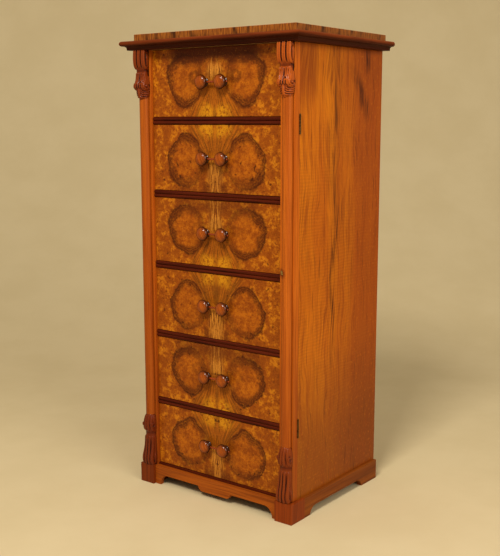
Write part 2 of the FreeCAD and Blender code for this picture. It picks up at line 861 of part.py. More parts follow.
def build_drawer(number):
    name = f"drawer_{number}"
    floor = drawer_floor(number)
    inside = drawer_half - size.box_side_thick
    back_of_front = drawer_front + size.front_thick
    sides = []
    for side, sign in SIDES.items():
        middle = ((drawer_half - size.box_side_thick / 2) * sign, drawer_front, floor)
        board = make_prism(f"{name}_{side}", "YZ_Plane", drawer_side_corners(), size.box_side_thick, middle)
        sides.append(board)
    back_bottom = floor + size.bottom_rise + size.bottom_board_thick
    back_height = floor + box_side_height - size.box_back_drop - back_bottom
    extent = (inside * 2, size.box_back_thick, back_height)
    back = make_box(name + "_rear", extent, (-inside, drawer_end - size.box_back_thick, back_bottom))
    keep(make_group(name + "_boards", sides + [back]), name + "_box")
    extent = (inside * 2, drawer_end - back_of_front, size.bottom_board_thick)
    corner = (-inside, back_of_front, floor + size.bottom_rise)
    keep(make_box(name + "_floor", extent, corner), name + "_bottom")

    knob_level = floor + size.opening_height / 2
    rod_length = size.knob_spacing + size.pull_rod_end * 2
    rod_corner = (-rod_length / 2, drawer_front - size.pull_rod_reach, knob_level)
    rod = make_cylinder(name + "_rod", size.pull_rod_radius, rod_length, rod_corner, TOWARDS_X)
    blanks, knobs = [], []
    for side, sign in SIDES.items():
        middle = (size.knob_spacing / 2 * sign, drawer_front, knob_level)
        blank = make_turning(f"{name}_{side}_turning", knob_corners(), middle)
        blanks.append(blank)
        knobs.append(make_cut(f"{name}_{side}_knob", blank, [rod]))
    keep(make_group(name + "_pulls", knobs + [rod]), name + "_pull")

    extent = (drawer_half * 2, size.front_thick, size.opening_height - size.drawer_gap * 2)
    board = make_box(name + "_board", extent, (-drawer_half, drawer_front, floor + size.drawer_gap))
    keep(make_cut(name + "_front_cut", board, sides + blanks), name + "_front")


build_case()
build_cornice()
build_rails()
build_plinth()
build_left_pilaster()
build_flap()
for drawer_number in range(1, DRAWERS + 1):
    build_drawer(drawer_number)
document.recompute()

for thing in document.Objects:
    if "Invalid" in thing.State or "Error" in thing.State:
        raise RuntimeError(f"{thing.Label} failed: {thing.State}")
for thing in nodes:
    if thing.Shape.isNull() or not thing.Shape.isValid() or not thing.Shape.Solids:
        raise RuntimeError(f"{thing.Label} has no valid solid")

os.makedirs("parts", exist_ok=True)
for thing in nodes:
    thing.Shape.exportStep(f"parts/{thing.Label}.step")
print(f"wrote {len(nodes)} nodes")
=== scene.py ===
import bpy
import json
import math
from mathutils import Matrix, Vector
from mathutils.bvhtree import BVHTree


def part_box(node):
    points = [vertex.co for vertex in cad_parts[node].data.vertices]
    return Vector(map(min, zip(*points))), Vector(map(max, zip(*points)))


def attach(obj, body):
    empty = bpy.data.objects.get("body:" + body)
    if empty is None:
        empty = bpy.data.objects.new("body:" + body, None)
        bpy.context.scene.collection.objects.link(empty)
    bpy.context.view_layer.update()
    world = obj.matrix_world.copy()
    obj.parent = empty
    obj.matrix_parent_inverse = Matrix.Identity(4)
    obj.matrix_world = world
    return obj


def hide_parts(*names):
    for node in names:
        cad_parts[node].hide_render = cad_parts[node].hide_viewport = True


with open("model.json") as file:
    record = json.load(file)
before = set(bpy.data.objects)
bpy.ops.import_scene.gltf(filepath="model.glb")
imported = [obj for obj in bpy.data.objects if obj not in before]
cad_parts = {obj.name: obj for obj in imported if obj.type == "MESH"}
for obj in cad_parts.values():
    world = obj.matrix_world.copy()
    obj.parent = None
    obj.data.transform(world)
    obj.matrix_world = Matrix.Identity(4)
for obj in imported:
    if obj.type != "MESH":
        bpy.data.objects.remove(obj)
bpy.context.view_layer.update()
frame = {"nodes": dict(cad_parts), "record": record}
mm = 0.001
bodyOf = {node: body for body, nodes in frame["record"]["behaviour"]["bodies"].items() for node in nodes}
drawers = sorted({body for body in bodyOf.values() if body.startswith("drawer_")})
print("frame loaded:", len(bodyOf), "nodes,", len(drawers), "drawers")


# Shader values

class Flow:  # a shader value that takes arithmetic
    def __init__(self, bench, socket):
        self.bench = bench
        self.socket = socket

    def __add__(self, other):
        return self.bench.sum("ADD", self, other)

    __radd__ = __add__

    def __sub__(self, other):
        return self.bench.sum("SUBTRACT", self, other)

    def __rsub__(self, other):
        return self.bench.sum("SUBTRACT", other, self)

    def __mul__(self, other):
        return self.bench.sum("MULTIPLY", self, other)

    __rmul__ = __mul__

    def __truediv__(self, other):
        return self.bench.sum("DIVIDE", self, other)

    def __rtruediv__(self, other):
        return self.bench.sum("DIVIDE", other, self)

    def __abs__(self):
        return self.bench.sum("ABSOLUTE", self)


class Bench:  # one material and the tools that mix its finish
    def __init__(self, name):
        self.material = bpy.data.materials.new(name)
        self.material.use_nodes = True
        self.tree = self.material.node_tree
        self.shader = self.tree.nodes["Principled BSDF"]
        self.colour = None

    def node(self, kind, settings, sockets, output=0):
        made = self.tree.nodes.new(kind)
        for key, value in settings.items():
            setattr(made, key, value)
        for key, value in sockets.items():
            if isinstance(value, Flow):
                self.tree.links.new(value.socket, made.inputs[key])
            else:
                made.inputs[key].default_value = value
        return Flow(self, made.outputs[output])

    def sum(self, operation, *values):
        return self.node("ShaderNodeMath", {"operation": operation}, dict(enumerate(values)))

    def sine(self, value):
        return self.sum("SINE", value)

    def larger(self, first, second):
        return self.sum("MAXIMUM", first, second)

    def span(self, first, second):  # the long side of a triangle with these two short ones
        return self.sum("SQRT", first * first + second * second)

    def place(self):  # where the surface is, in millimetres
        spot = self.node("ShaderNodeTexCoord", {}, {}, "Object")
        return [self.node("ShaderNodeSeparateXYZ", {}, {0: spot}, axis) * 1000 for axis in range(3)]

    def point(self, x, y, z):
        return self.node("ShaderNodeCombineXYZ", {}, {0: x, 1: y, 2: z})

    def noise(self, spot, detail=2.0, rough=0.5):
        sockets = {"Vector": spot, "Scale": 1.0, "Detail": detail, "Roughness": rough}
        return self.node("ShaderNodeTexNoise", {}, sockets)

    def cells(self, spot):  # how far off the nearest of many scattered points is
        return self.node("ShaderNodeTexVoronoi", {"feature": "F1"}, {"Vector": spot, "Scale": 1.0})

    def ramp(self, value, low, high):  # 0 at low and 1 at high, with soft ends
        settings = {"interpolation_type": "SMOOTHSTEP"}
        return self.node("ShaderNodeMapRange", settings, {"Value": value, "From Min": low, "From Max": high})

    def mix(self, share, first, second):
        return self.node("ShaderNodeMix", {"data_type": "RGBA"}, {0: share, 6: first, 7: second}, 2)

    def lay(self, share, colour):  # a colour over those that are there, as far as its share goes
        self.colour = self.mix(share, self.colour, colour)

    def attribute(self, name):
        return self.node("ShaderNodeAttribute", {"attribute_name": name}, {}, "Fac")

    def finish(self, rough, relief=None, depth=0.0, coat=0.0, metal=0.0, gloss=0.14, coatRough=0.12):
        values = {"Base Color": self.colour, "Roughness": rough, "Coat Weight": coat, "Metallic": metal}
        for key, value in values.items():
            if isinstance(value, Flow):
                self.tree.links.new(value.socket, self.shader.inputs[key])
            else:
                self.shader.inputs[key].default_value = value
        self.shader.inputs["Coat Roughness"].default_value = coatRough
        self.shader.inputs["Specular IOR Level"].default_value = gloss
        if relief is not None:
            sockets = {"Height": relief, "Strength": 1.0, "Distance": depth * mm}
            bump = self.node("ShaderNodeBump", {}, sockets)
            self.tree.links.new(bump.socket, self.shader.inputs["Normal"])
        return self.material


def tone(red, green, blue):  # a colour as an eye reads it, 0 to 255
    def straight(level):
        share = level / 255
        return share / 12.92 if share <= 0.04045 else ((share + 0.055) / 1.055) ** 2.4
    return (straight(red), straight(green), straight(blue), 1.0)


# Finishes

burr = {
    "field": tone(164, 87, 15), "fieldDeep": tone(134, 64, 12), "fieldBright": tone(192, 116, 21),
    "wing": tone(168, 87, 15), "wingDeep": tone(130, 60, 11), "ring": tone(70, 30, 8),
    "edge": tone(56, 22, 7), "speck": tone(98, 44, 9), "flameLight": tone(204, 132, 46),
    "flameDark": tone(78, 32, 9), "fan": tone(106, 58, 12), "glow": tone(200, 132, 20),
    "swirl": 46, "swirlReach": (30, 26), "curl": 9, "curlReach": 9,  # sizes of the figure, in millimetres
    "ringSize": 60, "patchSize": 24, "mottleSize": 8, "speckSize": 3.6, "eyeSize": 8, "knotSize": 14,
    "wingPlace": (100.0, 4.0), "wingHalf": (63.0, 70.0), "wingSpread": 0.16, "wingLines": 62,
    "fanCentre": 34, "fanLines": 26, "vase": (15, 3, 10), "curlSpot": (66, 14, 12),
    "crownAndShadow": {1: 0.95, 2: 0.25, 3: 0.45, 4: 0.1, 5: 0.5, 6: 0.2},  # how dark it is on each drawer; on the top drawer this also paints the cornice's shadow
    "seedStep": 31.7,
    # where a mark starts and where it is full: up from the drawer's middle, and out to each side of it
    "strongUp": (-18, -52), "strongOut": (-30, 40), "fanUp": (12, -16), "fanOut": (104, 66),
    "glowUp": (-46, -74), "glowOut": (68, 28), "flameUp": (-8, 18), "flameOut": (32, 12),
    "topUp": (32, 58), "threadUp": (4, 20), "shadeUp": (50, 72), "shadeAt": 32, "shadeHalf": (17, 6),
    "crownUp": (52, 82), "crownOut": (176, 120),
}


def burrVeneer(number, middle, flip):  # mirrored about the drawer's middle, upside down on each second one
    bench = Bench(f"burrVeneer{number}")
    x, _, z = bench.place()
    across = abs(x)
    up = (z - middle) * flip
    seed = burr["seedStep"] * number

    def figure(run, size, shift, detail, rough=0.5):  # one layer of noise over the drawer's face
        return bench.noise(bench.point(run / size, up / size, seed + shift), detail, rough)

    sway = figure(across, burr["swirl"], 0, 1.0) - 0.5
    lift = figure(across, burr["swirl"], 9, 1.0) - 0.5
    curl = figure(x, burr["curl"], 17, 2.0) - 0.5
    crinkle = figure(x, burr["curl"], 23, 2.0) - 0.5
    a = across + sway * burr["swirlReach"][0] + curl * burr["curlReach"]
    b = up + lift * burr["swirlReach"][1] + crinkle * burr["curlReach"]

    # The wings: rings of dark wood round a speckled heart
    wide, tall = burr["wingHalf"]
    p = a - burr["wingPlace"][0]
    q = b - burr["wingPlace"][1]
    reach = bench.span(p / (q * burr["wingSpread"] + wide), q / tall)
    thick = figure(across, burr["ringSize"], 37, 1.0) * 0.3 + 0.04
    inside = bench.ramp(reach, 0.96, 0.84)
    ragged = crinkle * 0.36 + curl * 0.2
    ring = bench.ramp(reach + thick + ragged, 0.78, 1.02) * bench.ramp(reach + ragged * 0.3, 1.06, 0.96)
    edge = bench.ramp(abs(reach - 0.965), 0.06, 0.01)
    strong = bench.larger(bench.ramp(p, *burr["strongOut"]), bench.ramp(q, *burr["strongUp"]))
    contour = bench.sine(reach * burr["wingLines"] + curl * 9) * 0.5 + 0.5

    # Burr: patches, specks and small eyes
    patch = figure(x, burr["patchSize"], 3, 3.0, 0.65)
    mottle = figure(x, burr["mottleSize"], 7, 2.0, 0.6)
    speck = figure(x, burr["speckSize"], 5, 2.0, 0.7)
    eye = bench.ramp(bench.cells(bench.point(x / burr["eyeSize"], up / burr["eyeSize"], seed)), 0.26, 0.08)
    knot = bench.ramp(figure(across, burr["knotSize"], 29, 1.0), 0.70, 0.78)
    bench.colour = burr["fieldDeep"]
    bench.lay(bench.ramp(patch, 0.34, 0.66), burr["field"])
    bench.lay(bench.ramp(patch + mottle * 0.5, 0.74, 0.96) * 0.85, burr["fieldBright"])
    bench.lay(bench.ramp(mottle, 0.52, 0.34) * 0.6, burr["fieldDeep"])
    bench.lay(bench.ramp(mottle, 0.42, 0.28) * 0.6, burr["speck"])
    heart = bench.mix(bench.ramp(patch + mottle * 0.4, 0.50, 0.88), burr["wingDeep"], burr["wing"])
    heart = bench.mix(contour * 0.2 * bench.ramp(mottle, 0.4, 0.6), heart, burr["fieldBright"])
    bench.lay(inside * 0.85, heart)

    # The fan of fine lines below the wings' meeting, and the glow at its foot
    sector = bench.sum("ARCTAN2", across + sway * 10, burr["fanCentre"] - up)
    ray = bench.noise(bench.point(sector * burr["fanLines"], up / 70, seed + 41), 3.0, 0.6)
    outside = bench.ramp(reach, 0.98, 1.06)
    low = bench.ramp(up, *burr["fanUp"]) * bench.ramp(across, *burr["fanOut"]) * outside
    bench.lay(low * 0.85, bench.mix(bench.ramp(ray, 0.40, 0.60), burr["fan"], burr["field"]))
    glow = bench.ramp(b, *burr["glowUp"]) * bench.ramp(a, *burr["glowOut"]) * outside
    glow = glow * bench.ramp(mottle, 0.32, 0.54) * (bench.ramp(across + curl * 8, 3, 14) * 0.7 + 0.3)
    bench.lay(glow * 0.85, burr["glow"])

    # The flame between the wings, and the dark crown over them, which on the top drawer is also painted
    # shadow of the cornice
    darkness = burr["crownAndShadow"][number]
    streak = bench.noise(bench.point((across + lift * 8) / 2.6, up / 34, seed + 51), 3.0, 0.6)
    top = bench.ramp(up, *burr["topUp"]) * darkness
    flame = bench.ramp(across + sway * 16, *burr["flameOut"]) * bench.ramp(up, *burr["flameUp"]) * (1 - top)
    tongue = bench.mix(bench.ramp(streak, 0.38, 0.62), burr["flameDark"], burr["flameLight"])
    bench.lay(flame * 0.85, tongue)
    rise, swell, half = burr["vase"]
    vase = bench.sine(up / rise) * swell + half
    thread = bench.ramp(abs(across + curl * 3 - vase), 2.6, 0.6) * bench.ramp(up, *burr["threadUp"])
    bench.lay(thread * 0.75, burr["flameLight"])
    shade = bench.ramp(abs(a - burr["shadeAt"]), *burr["shadeHalf"]) * bench.ramp(b, *burr["shadeUp"])
    crownAndShadow = bench.ramp(b + mottle * 34, *burr["crownUp"]) * bench.ramp(a, *burr["crownOut"]) * darkness
    spotAcross, spotUp, spotRound = burr["curlSpot"]
    curlSpot = bench.ramp(abs(bench.span(a - spotAcross, b - spotUp) - spotRound), 9, 2)
    bench.lay(bench.larger(shade * 0.6, crownAndShadow), burr["flameDark"])
    bench.lay(curlSpot * darkness * 0.55, burr["ring"])

    # The dark rings, the specks and the eyes lie over all of it
    mottled = bench.ramp(speck, 0.7, 0.4) * 0.4 + 0.6
    dark = ring * (strong * 0.46 + 0.52) * (contour * 0.3 + 0.7) * mottled
    bench.lay(dark, burr["ring"])
    bench.lay(edge * (strong * 0.6 + 0.2) * mottled * 0.5, burr["edge"])
    bench.lay(bench.ramp(speck, 0.44, 0.30) * 0.62, burr["speck"])
    bright = bench.ramp(speck, 0.58, 0.72) * 0.35 * bench.ramp(dark, 0.6, 0.2)
    bench.lay(bright, burr["fieldBright"])
    bench.lay(eye * bench.ramp(patch, 0.42, 0.6) * 0.4, burr["ring"])
    bench.lay(knot * 0.75, burr["edge"])
    return bench.finish(speck * 0.12 + 0.28, speck, 0.05, coat=0.02, gloss=0.08)


def grain(bench, across, along, width, length, seed):  # lines of noise drawn out along the wood
    return bench.noise(bench.point(across / width, along / length, seed), 3.0, 0.6)


sideWood = {
    "light": tone(206, 116, 16), "middle": tone(184, 94, 14), "deep": tone(132, 57, 11),
    "dark": tone(66, 26, 9), "rear": tone(146, 62, 14), "low": tone(108, 52, 13), "ripple": tone(122, 58, 12),
    "broad": (46, 480), "line": (8, 220), "fine": (2.4, 70),  # width and length of the grain's lines
    "feather": (6, 90), "streak": (7, 150), "wander": 70, "streakWander": 70, "rippleTurns": 0.74,
    "rearFrom": (-60, 170), "paintedFalloffFrom": (520, 150), "rippleFrom": (1180, 760),
    "streakAt": -6, "patchLevels": (1030, 1150), "patchEdge": (-72, -112),
    "wedgeAt": (105, 1135), "cornerAt": 144,
    # half-widths of the dark marks, from none to full, and the levels that they fade in and end at
    "streakHalf": (15, 2), "streakFrom": (240, 620), "haloHalf": (60, 10), "haloFrom": (420, 900),
    "wedgeHalf": (36, 4), "wedgeFrom": (1060, 1130), "wedgeEnd": (1200, 1120),
    "cornerHalf": (26, 6), "cornerFrom": (1180, 1230),
}


def sideVeneer(name, seed):  # upright walnut veneer with a dark middle streak and a fine cross ripple
    bench = Bench(name)
    _, y, z = bench.place()
    drift = bench.noise(bench.point(y / 80, z / 260, seed), 2.0) - 0.5
    wander = bench.noise(bench.point(0.0, z / 170, seed + 1), 2.0) - 0.5
    warp = y + drift * sideWood["wander"]
    broad = grain(bench, warp, z, *sideWood["broad"], seed + 3)
    line = grain(bench, warp, z, *sideWood["line"], seed + 5)
    fine = grain(bench, warp, z, *sideWood["fine"], seed + 7)
    fleck = bench.noise(bench.point(warp / 4, z / 12, seed + 11), 2.0, 0.6)
    wave = bench.noise(bench.point(y / 110, z / 50, seed + 13), 2.0)
    ripple = bench.sine(z * sideWood["rippleTurns"] + wave * 11) * 0.5 + 0.5
    crossed = bench.ramp(bench.noise(bench.point(y / 80, z / 190, seed + 15), 1.0), 0.3, 0.56)
    crossed = ripple * crossed * bench.ramp(z, *sideWood["rippleFrom"])
    bench.colour = sideWood["middle"]
    bench.lay(bench.ramp(broad, 0.32, 0.68), sideWood["light"])
    bench.lay(bench.ramp(y, *sideWood["rearFrom"]) * 0.8, sideWood["rear"])
    # painted shade: the side darkens towards the floor
    bench.lay(bench.ramp(z, *sideWood["paintedFalloffFrom"]) * 0.7, sideWood["low"])
    bench.lay(bench.ramp(line, 0.52, 0.34) * 0.6, sideWood["deep"])
    bench.lay(bench.ramp(fine, 0.50, 0.32) * 0.45, sideWood["deep"])
    bench.lay(bench.ramp(fleck, 0.54, 0.70) * 0.3, sideWood["light"])
    bench.lay(crossed * 0.22, sideWood["ripple"])

    # The middle streak, the patch at the top of the front and the wedges at the top of the rear
    shift = abs(y - sideWood["streakAt"] - wander * sideWood["streakWander"] - drift * 26)
    middle = bench.ramp(shift, *sideWood["streakHalf"]) * bench.ramp(line, 0.62, 0.40)
    middle = middle * bench.ramp(z, *sideWood["streakFrom"])
    halo = bench.ramp(shift, *sideWood["haloHalf"]) * bench.ramp(z, *sideWood["haloFrom"])
    halo = halo * bench.ramp(fine, 0.62, 0.36)
    patch = bench.ramp(z + drift * 220, *sideWood["patchLevels"]) * bench.ramp(warp, *sideWood["patchEdge"])
    patch = patch * bench.ramp(line, 0.78, 0.46)
    wedgeFoot, wedgeTop = sideWood["wedgeAt"]
    slope = abs(y + drift * 40 - wedgeFoot - (wedgeTop - z) * 0.6)
    feather = grain(bench, y, z, *sideWood["feather"], seed + 21)
    wedge = bench.ramp(slope, *sideWood["wedgeHalf"]) * bench.ramp(z + feather * 80, *sideWood["wedgeFrom"])
    wedge = wedge * bench.ramp(z, *sideWood["wedgeEnd"])
    corner = bench.ramp(abs(y + drift * 30 - sideWood["cornerAt"]), *sideWood["cornerHalf"])
    corner = corner * bench.ramp(z + feather * 60, *sideWood["cornerFrom"])
    wedge = bench.larger(wedge, corner) * bench.ramp(feather, 0.36, 0.58)
    streak = bench.ramp(grain(bench, warp, z, *sideWood["streak"], seed + 23), 0.58, 0.70) * 0.5
    dark = bench.larger(middle * 0.85, bench.larger(wedge * 0.85, streak))
    bench.lay(patch * 0.8, sideWood["deep"])
    bench.lay(bench.larger(dark, halo * 0.4), sideWood["dark"])
    return bench.finish(fine * 0.12 + 0.3, fine, 0.05, coat=0.02, gloss=0.08)


woodGrain = {  # width and length of each kind of line, for a scale of 1
    "drift": (60, 300), "broad": (14, 420), "line": (3.2, 190), "pore": (0.8, 18), "wander": 14, "skew": 0.73,
}
leftPaintedShade = (40, -120)  # across the chest, where the painted shade on the left side starts and is full
jointShade = (6, 0.5)  # how far before the joint with the stile the dark starts and is full
lockShade = (19, 8)  # the same, out from the keyhole


def plainWood(name, colours, along, scale=1.0, shine=0.3, seed=1.0, strong=0.6, gloss=0.08,
              paintedShadeDown=None, left=0.0, joint=None, lock=None):
    # straight-grained wood: along is the axis of the grain, colours run light, middle, dark
    bench = Bench(name)
    spots = dict(zip("xyz", bench.place()))
    side, depth, level = spots.values()
    length = spots.pop(along)
    first, second = spots.values()
    across = first + second * woodGrain["skew"]
    width, run = woodGrain["drift"]
    drift = bench.noise(bench.point(across / (width * scale), length / (run * scale), seed), 2.0) - 0.5
    warp = across + drift * woodGrain["wander"] * scale

    def lines(kind, shift):
        width, run = woodGrain[kind]
        return grain(bench, warp, length, width * scale, run * scale, seed + shift)

    broad, line, pore = lines("broad", 3), lines("line", 5), lines("pore", 7)
    light, middle, dark = colours
    bench.colour = middle
    bench.lay(bench.ramp(broad, 0.34, 0.66), light)
    bench.lay(bench.ramp(line, 0.54, 0.34) * strong, dark)
    bench.lay(bench.ramp(pore, 0.42, 0.30) * strong * 0.7, dark)
    if paintedShadeDown:  # painted shade: darker from one level down to another
        high, low, share = paintedShadeDown
        bench.lay(bench.ramp(level, high, low) * share, dark)
    if left:  # painted shade: the left pilaster is darker, as if it got less light
        bench.lay(bench.ramp(side, *leftPaintedShade) * left, dark)
    if joint:  # dark along the joint with the stile
        bench.lay(bench.ramp(depth, *(joint - far for far in jointShade)) * 0.6, dark)
    if lock:  # rubbed dark round the keyhole
        gap = bench.span(side - lock[0], level - lock[1])
        bench.lay(bench.ramp(gap, *lockShade) * 0.85, dark)
    return bench.finish(line * 0.14 + shine, pore, 0.06, coat=0.02, gloss=gloss)


crossBand = {"light": tone(160, 92, 28), "middle": tone(98, 46, 14), "dark": tone(40, 16, 6)}


def bandedEdge(name):  # short upright grain round the edge of the slab
    bench = Bench(name)
    x, y, z = bench.place()
    run = x + y
    broad = bench.noise(bench.point(run / 34, z / 90, 2.0), 2.0, 0.6)
    line = bench.noise(bench.point(run / 4, z / 60, 4.0), 3.0, 0.7)
    fine = bench.noise(bench.point(run / 1.2, z / 12, 6.0), 2.0, 0.6)
    bench.colour = crossBand["middle"]
    bench.lay(bench.ramp(line, 0.40, 0.58), crossBand["light"])
    bench.lay(bench.ramp(broad + line * 0.2, 0.62, 0.76) * 0.85, crossBand["dark"])
    bench.lay(bench.ramp(fine, 0.44, 0.32) * 0.5, crossBand["dark"])
    return bench.finish(fine * 0.12 + 0.3, fine, 0.05, coat=0.03)


carved = {
    "middle": tone(136, 58, 15), "light": tone(184, 90, 26), "dark": tone(34, 9, 4),
    "line": tone(104, 38, 10), "low": tone(92, 33, 13), "paintedFalloffFrom": (620, 160), "grain": (2.4, 60),
}


def carvedWood(name):  # polished carving, with painted shade in its hollows and painted light on its open parts
    bench = Bench(name)
    x, y, z = bench.place()
    hollowShade = bench.attribute("hollowShade")
    line = grain(bench, x + y * 0.7, z, *carved["grain"], 3.0)
    bench.colour = carved["middle"]
    bench.lay(bench.ramp(line, 0.36, 0.64) * 0.5, carved["line"])
    # painted light: the open parts of the carving are lighter
    bench.lay(bench.ramp(hollowShade, 0.08, 0.0) * 0.55, carved["light"])
    # darker towards the floor: in part painted shade, in part the lower carvings' darker wood
    bench.lay(bench.ramp(z, *carved["paintedFalloffFrom"]) * 0.7, carved["low"])
    # painted shade: darker towards the left pilaster
    bench.lay(bench.ramp(x, *leftPaintedShade) * 0.7, carved["low"])
    # painted shade: the hollows are dark
    bench.lay(bench.ramp(hollowShade, 0.06, 0.26) * 0.95, carved["dark"])
    return bench.finish(bench.ramp(hollowShade, 0.1, 0.3) * 0.4 + 0.2, line, 0.04, coat=0.02, gloss=0.1)


knobTone = {
    "face": tone(162, 77, 10), "line": tone(108, 43, 6), "back": tone(34, 9, 3),
    "paintedShadeFrom": -211.8, "paintedShadeFull": -199.8,  # from the middle of the face back to the rim
}


def turnedKnob(name):  # a bright middle, with painted shade round the rim and back to the neck
    bench = Bench(name)
    x, y, z = bench.place()
    line = grain(bench, x + z * 0.4, y, 3.0, 90, 12.0)
    bench.colour = knobTone["face"]
    bench.lay(bench.ramp(line, 0.36, 0.62) * 0.6, knobTone["line"])
    # painted shade: dark from the middle of the face back round the rim and the neck
    paintedRimShade = bench.ramp(y, knobTone["paintedShadeFrom"], knobTone["paintedShadeFull"])
    bench.lay(paintedRimShade * 0.94, knobTone["back"])
    return bench.finish(line * 0.06 + 0.12, line, 0.03, coat=0.02, gloss=0.24)


brassTones = (tone(196, 158, 92), tone(128, 92, 46), tone(70, 46, 22))
hingeTones = (tone(104, 74, 40), tone(62, 40, 20), tone(34, 20, 10))


def agedBrass(name, colours):  # colours run bright, dull, stained
    bench = Bench(name)
    x, y, z = bench.place()
    cloud = bench.noise(bench.point(x / 6, y / 6, z / 6), 3.0, 0.6)
    scuff = bench.noise(bench.point(x / 0.8, y / 0.8, z / 5), 2.0)
    bright, dull, stain = colours
    bench.colour = dull
    bench.lay(bench.ramp(cloud, 0.36, 0.62), bright)
    bench.lay(bench.ramp(scuff, 0.42, 0.30) * 0.5, stain)
    return bench.finish(cloud * 0.3 + 0.22, scuff, 0.02, metal=1.0)


columnTones = (tone(182, 93, 23), tone(162, 77, 18), tone(108, 43, 9))
stileTones = (tone(202, 104, 23), tone(180, 86, 17), tone(112, 44, 9))
mahoganyTones = (tone(86, 29, 9), tone(68, 20, 7), tone(40, 10, 4))
corniceTones = (tone(120, 52, 16), tone(98, 38, 12), tone(46, 15, 5))
plinthTones = (tone(164, 83, 18), tone(138, 64, 14), tone(94, 39, 9))
returnTones = (tone(136, 69, 16), tone(114, 53, 12), tone(76, 32, 8))
blockTones = (tone(140, 59, 15), tone(119, 47, 11), tone(78, 29, 8))
rodTones = (tone(150, 62, 24), tone(126, 48, 18), tone(78, 26, 10))
pineTones = (tone(186, 146, 96), tone(164, 122, 74), tone(118, 82, 46))
liningTones = (tone(190, 150, 100), tone(168, 126, 78), tone(124, 88, 52))
coreTones = (tone(150, 84, 40), tone(128, 68, 32), tone(92, 46, 20))
slabTones = (sideWood["light"], sideWood["middle"], sideWood["deep"])

lockPlace = (229, 661)  # the keyhole, across and up
columnBack = -189.5  # where a column meets its stile
underside = (1250, 1237, 0.85)  # painted shade: the cornice is darker below
cornice = {"shine": 0.42, "gloss": 0.05, "paintedShadeDown": underside}
plinth = {"scale": 1.4, "shine": 0.34}
pine = {"scale": 2.4, "shine": 0.62, "strong": 0.5}
lining = {"scale": 1.6, "shine": 0.55, "strong": 0.5}

finishes = {
    "side": sideVeneer("sideVeneer", 4.0),
    "otherSide": sideVeneer("otherSideVeneer", 57.0),
    # painted shade: the column and the stile darken towards the floor
    "column": plainWood("columnWood", columnTones, "z", seed=2.0, strong=0.45, paintedShadeDown=(760, 120, 0.32),
                        left=0.3, joint=columnBack, lock=lockPlace),
    "stile": plainWood("stileWood", stileTones, "z", scale=1.2, shine=0.32, seed=3.0, strong=0.5,
                       paintedShadeDown=(700, 120, 0.5), left=0.35, lock=lockPlace),
    "mahoganyX": plainWood("mahoganyAcross", mahoganyTones, "x", shine=0.4, seed=5.0, gloss=0.05),
    "corniceX": plainWood("corniceAcross", corniceTones, "x", seed=6.0, **cornice),
    "corniceY": plainWood("corniceAlong", corniceTones, "y", seed=7.0, **cornice),
    "plinthX": plainWood("plinthAcross", plinthTones, "x", seed=8.0, **plinth),
    "plinthY": plainWood("plinthAlong", returnTones, "y", seed=9.0, **plinth),
    "block": plainWood("blockWood", blockTones, "z", scale=1.2, shine=0.34, seed=10.0, left=0.45),
    "knob": turnedKnob("knobWood"),
    "rod": plainWood("rodWood", rodTones, "x", scale=0.6, shine=0.16, seed=12.0, strong=0.4, gloss=0.3),
    "pineX": plainWood("pineAcross", pineTones, "x", seed=14.0, **pine),
    "pineY": plainWood("pineAlong", pineTones, "y", seed=15.0, **pine),
    "pineZ": plainWood("pineUpright", pineTones, "z", seed=16.0, **pine),
    "liningX": plainWood("liningAcross", liningTones, "x", seed=18.0, **lining),
    "liningY": plainWood("liningAlong", liningTones, "y", seed=19.0, **lining),
    "lockStile": plainWood("lockStileWood", coreTones, "z", scale=1.4, shine=0.4, seed=20.0, strong=0.5),
    "core": plainWood("frontCore", coreTones, "x", scale=1.4, shine=0.45, seed=21.0, strong=0.5),
    "topX": plainWood("topVeneer", slabTones, "x", scale=2.2, shine=0.26, seed=23.0),
    "band": bandedEdge("bandedEdge"),
    "carved": carvedWood("carvedWood"),
    "brass": agedBrass("agedBrass", brassTones),
    "hinge": agedBrass("agedHinge", hingeTones),
}
print("finishes mixed:", len(finishes))


# Working tools

def selectNone():
    bpy.ops.object.select_all(action="DESELECT")


def alone(piece):  # only this piece is selected, and operators act on it
    selectNone()
    piece.select_set(True)
    bpy.context.view_layer.objects.active = piece


def editAll():  # goes into edit mode with the whole piece selected
    bpy.ops.object.mode_set(mode="EDIT")
    bpy.ops.mesh.select_all(action="SELECT")


def editDone():
    bpy.ops.object.mode_set(mode="OBJECT")


def ownCopy(name, mesh):  # a new piece with its own copy of a mesh, alone and active
    piece = bpy.data.objects.new(name, mesh.copy())
    bpy.context.scene.collection.objects.link(piece)
    alone(piece)
    return piece


def wear(piece, *names):  # puts finishes on a piece, in the order of its slots
    piece.data.materials.clear()
    for name in names:
        piece.data.materials.append(finishes[name])


def coverFaces(piece, slot, facing):  # gives a finish to the faces that look one way
    for face in piece.data.polygons:
        if face.normal.dot(facing) > 0.5:
            face.material_index = slot


def settle(piece, nodes):  # rides with its CAD nodes, and stands for them
    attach(piece, bodyOf[nodes[0]])
    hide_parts(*nodes)


def shaped(piece, kind, **settings):  # gives the active piece a modifier and applies it
    modifier = piece.modifiers.new(kind.lower(), kind)
    for key, value in settings.items():
        setattr(modifier, key, value)
    bpy.ops.object.modifier_apply(modifier=modifier.name)


worked = {"merge": 0.00002, "flat": 0.5, "round": math.radians(32.0), "steps": 2, "weight": 100}


def workedCopy(node, ease):  # a CAD node's shape, with its edges eased as by a plane
    piece = ownCopy(node + "_worked", frame["nodes"][node].data)
    editAll()
    bpy.ops.mesh.customdata_custom_splitnormals_clear()
    bpy.ops.mesh.remove_doubles(threshold=worked["merge"])
    bpy.ops.mesh.dissolve_limited(angle_limit=math.radians(worked["flat"]))
    editDone()
    shaped(piece, "BEVEL", width=ease, segments=worked["steps"], limit_method="ANGLE",
           angle_limit=worked["round"])
    bpy.ops.object.shade_smooth_by_angle(angle=worked["round"])
    shaped(piece, "WEIGHTED_NORMAL", weight=worked["weight"], keep_sharp=True)
    settle(piece, [node])
    return piece


# Joinery: what keeps its CAD shape

